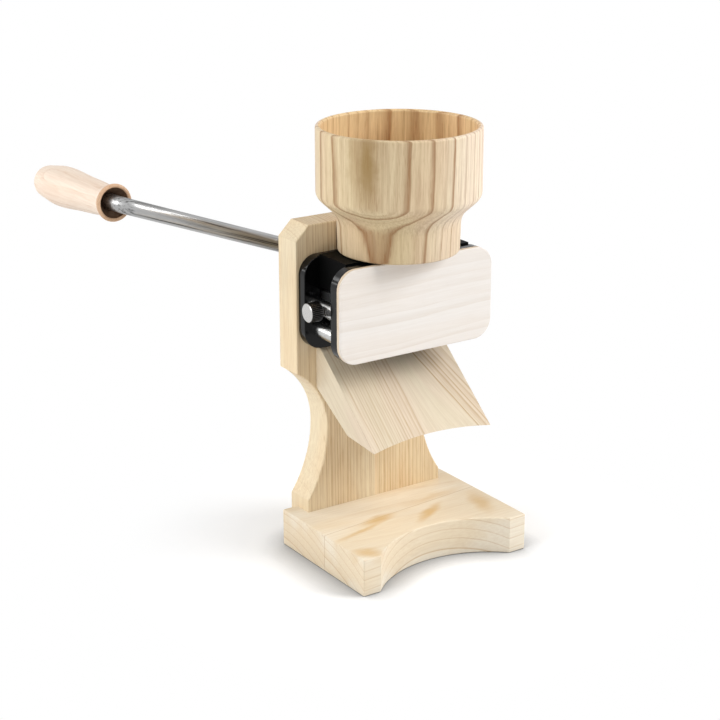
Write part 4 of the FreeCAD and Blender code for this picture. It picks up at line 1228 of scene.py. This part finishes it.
@dataclass
class Studio:
    """The floor, the light and the camera.

    Attributes:
        aim: Where the lamps point.
        floor_radius: The round floor's radius.
        floor_sides: Number of its sides.
        floor_color: Its colour near the object.
        floor_glow: Light that it adds near the object where it is seen.
        floor_fade: Distances from its middle between which it turns white.
        contact_reach: How near a piece stands for the floor's painted contact shadow.
        contact_power: How quickly that painted shadow deepens.
        contact_samples: How often it is sampled.
        front_level: Strength of the sky's light from in front.
        back_level: Its strength from behind.
        sky_front: Direction of the strongest light.
        sky_fade: Where along that direction the light is at its back and at its front level.
        lamps: The lamps.
        camera_place: Where the camera stands.
        azimuth: The camera's turn to the right of +Y, in degrees.
        elevation: How far it looks down, in degrees.
        roll: How far it is turned about its own line of sight, in degrees.
        lens: Its focal length, in millimetres.
        shift: Its shift to the side and up, in widths of the picture.
    """

    aim: Point = (0.0, 0.02, 0.13)
    floor_radius: float = 8.0
    floor_sides: int = 64
    floor_color: Color = (0.84, 0.84, 0.84)
    floor_glow: float = 0.22
    floor_fade: tuple[float, float] = (0.085, 0.19)
    contact_reach: float = 0.022
    contact_power: float = 1.2
    contact_samples: int = 8
    front_level: float = 0.49
    back_level: float = 0.16
    sky_front: Point = (-0.25, -0.6, 0.75)
    sky_fade: tuple[float, float] = (-0.4, 0.8)
    lamps: tuple[Lamp, ...] = (
        Lamp("left_lamp", place=(-1.62, -0.05, 1.12), size=(0.9, 0.9), watts=15.5),
        Lamp("right_lamp", place=(1.28, -1.02, 1.14), size=(0.9, 0.9), watts=30.0),
        Lamp("back_lamp", place=(-1.25, 1.35, 0.80), size=(0.9, 0.9), watts=11.5),
    )
    camera_place: Point = (-0.6074, -0.8508, 0.4838)
    azimuth: float = 33.4
    elevation: float = 18.15
    roll: float = -0.25
    lens: float = 88.37
    shift: tuple[float, float] = (0.0241, -0.0297)

    def build(self) -> None:
        """Makes all of it."""
        self.make_floor()
        self.make_world()
        for lamp in self.lamps:
            self.make_lamp(lamp)
        self.make_camera()
        bpy.context.scene.view_settings.view_transform = "Standard"

    def in_view(self, graph: Graph) -> Socket:
        """Tells what is seen from what lights the object.

        Args:
            graph: The material's or the world's graph.

        Returns:
            1 for what the camera sees, also in a reflection, and 0 for what only gives light.
        """
        path = graph.add("LightPath").outputs
        mirrored = graph.math("MAXIMUM", path["Is Glossy Ray"], path["Is Transmission Ray"])
        return graph.math("MAXIMUM", path["Is Camera Ray"], mirrored)

    def make_floor(self) -> None:
        """A round white floor that keeps the object's shadow, with a painted contact shadow close to the pieces."""
        mesh = bpy.data.meshes.new("floor")
        turns = [2 * math.pi * k / self.floor_sides for k in range(self.floor_sides)]
        rim = [(self.floor_radius * math.cos(turn), self.floor_radius * math.sin(turn), 0.0) for turn in turns]
        mesh.from_pydata(rim, [], [list(range(self.floor_sides))])
        floor = bpy.data.objects.new("floor", mesh)
        bpy.context.scene.collection.objects.link(floor)
        material = bpy.data.materials.new("finish_floor")
        material.use_nodes = True
        material.node_tree.nodes.clear()
        graph = Graph(material.node_tree)
        # Painted contact shadow: ambient occlusion darkens the floor and its glow close to the pieces.
        painted_contact_occlusion = graph.add("AmbientOcclusion", {"Distance": self.contact_reach}, samples=self.contact_samples)
        light_left_by_painted_contact_shadow = graph.math("POWER", painted_contact_occlusion.outputs["AO"], self.contact_power)
        surface = graph.add("BsdfDiffuse", {"Color": graph.mix(light_left_by_painted_contact_shadow, (0.0, 0.0, 0.0), self.floor_color)})
        seen = self.in_view(graph)
        far = graph.remap(graph.length(graph.add("TexCoord").outputs["Object"]), *self.floor_fade)
        glow_level = graph.math("MULTIPLY", graph.math("MULTIPLY", seen, light_left_by_painted_contact_shadow), self.floor_glow)
        glow = graph.add("Emission", {"Strength": glow_level})
        near_floor = graph.add("AddShader", {0: surface.outputs[0], 1: glow.outputs[0]})
        white = graph.add("Emission", {"Strength": 1.0})
        fade = graph.math("MULTIPLY", seen, far)
        both = graph.add("MixShader", {0: fade, 1: near_floor.outputs[0], 2: white.outputs[0]})
        graph.add("OutputMaterial", {"Surface": both.outputs[0]})
        mesh.materials.append(material)

    def make_world(self) -> None:
        """White where it is seen, and otherwise a soft light that is weaker behind the object."""
        world = bpy.data.worlds.new("studio")
        bpy.context.scene.world = world
        world.use_nodes = True
        world.node_tree.nodes.clear()
        graph = Graph(world.node_tree)
        direction = graph.add("TexCoord").outputs["Generated"]
        in_front = graph.dot(direction, self.sky_front)
        in_front = graph.remap(in_front, *self.sky_fade, self.back_level, self.front_level)
        seen = self.in_view(graph)
        strength = graph.math("MAXIMUM", seen, in_front)
        glow = graph.add("Background", {"Color": (1.0, 1.0, 1.0), "Strength": strength})
        graph.add("OutputWorld", {"Surface": glow.outputs[0]})

    def make_lamp(self, lamp: Lamp) -> None:
        """Makes one lamp, turned to the object.

        Args:
            lamp: Its name, place, size and power.
        """
        data = bpy.data.lights.new(lamp.name, "AREA")
        data.shape = "RECTANGLE"
        data.size, data.size_y = lamp.size
        data.energy = lamp.watts
        thing = bpy.data.objects.new(lamp.name, data)
        direction = Vector(self.aim) - Vector(lamp.place)
        turn = direction.to_track_quat("-Z", "Y").to_matrix().to_4x4()
        thing.matrix_world = Matrix.Translation(lamp.place) @ turn
        bpy.context.scene.collection.objects.link(thing)

    def make_camera(self) -> None:
        """The photograph's viewpoint."""
        turn, rise, roll = (math.radians(angle) for angle in (self.azimuth, self.elevation, self.roll))
        ahead = Vector((math.sin(turn) * math.cos(rise), math.cos(turn) * math.cos(rise), -math.sin(rise)))
        right = Vector((math.cos(turn), -math.sin(turn), 0.0))
        up = right.cross(ahead)
        right, up = right * math.cos(roll) + up * math.sin(roll), up * math.cos(roll) - right * math.sin(roll)
        data = bpy.data.cameras.new("camera")
        data.lens = self.lens
        data.shift_x, data.shift_y = self.shift
        data.clip_start = 0.01
        camera = bpy.data.objects.new("camera", data)
        axes = Matrix((right, up, -ahead)).transposed().to_4x4()
        camera.matrix_world = Matrix.Translation(self.camera_place) @ axes
        bpy.context.scene.collection.objects.link(camera)
        bpy.context.scene.camera = camera


def main() -> None:
    """Builds the sub-assemblies in order, then the studio."""
    logging.basicConfig(level=logging.INFO, format="%(name)s: %(message)s")
    for assembly in (Stand(), Chute(), Housing(), Mill(), Crank(), Hopper()):
        assembly.build()
    Studio().build()


if __name__ == "__main__":
    main()
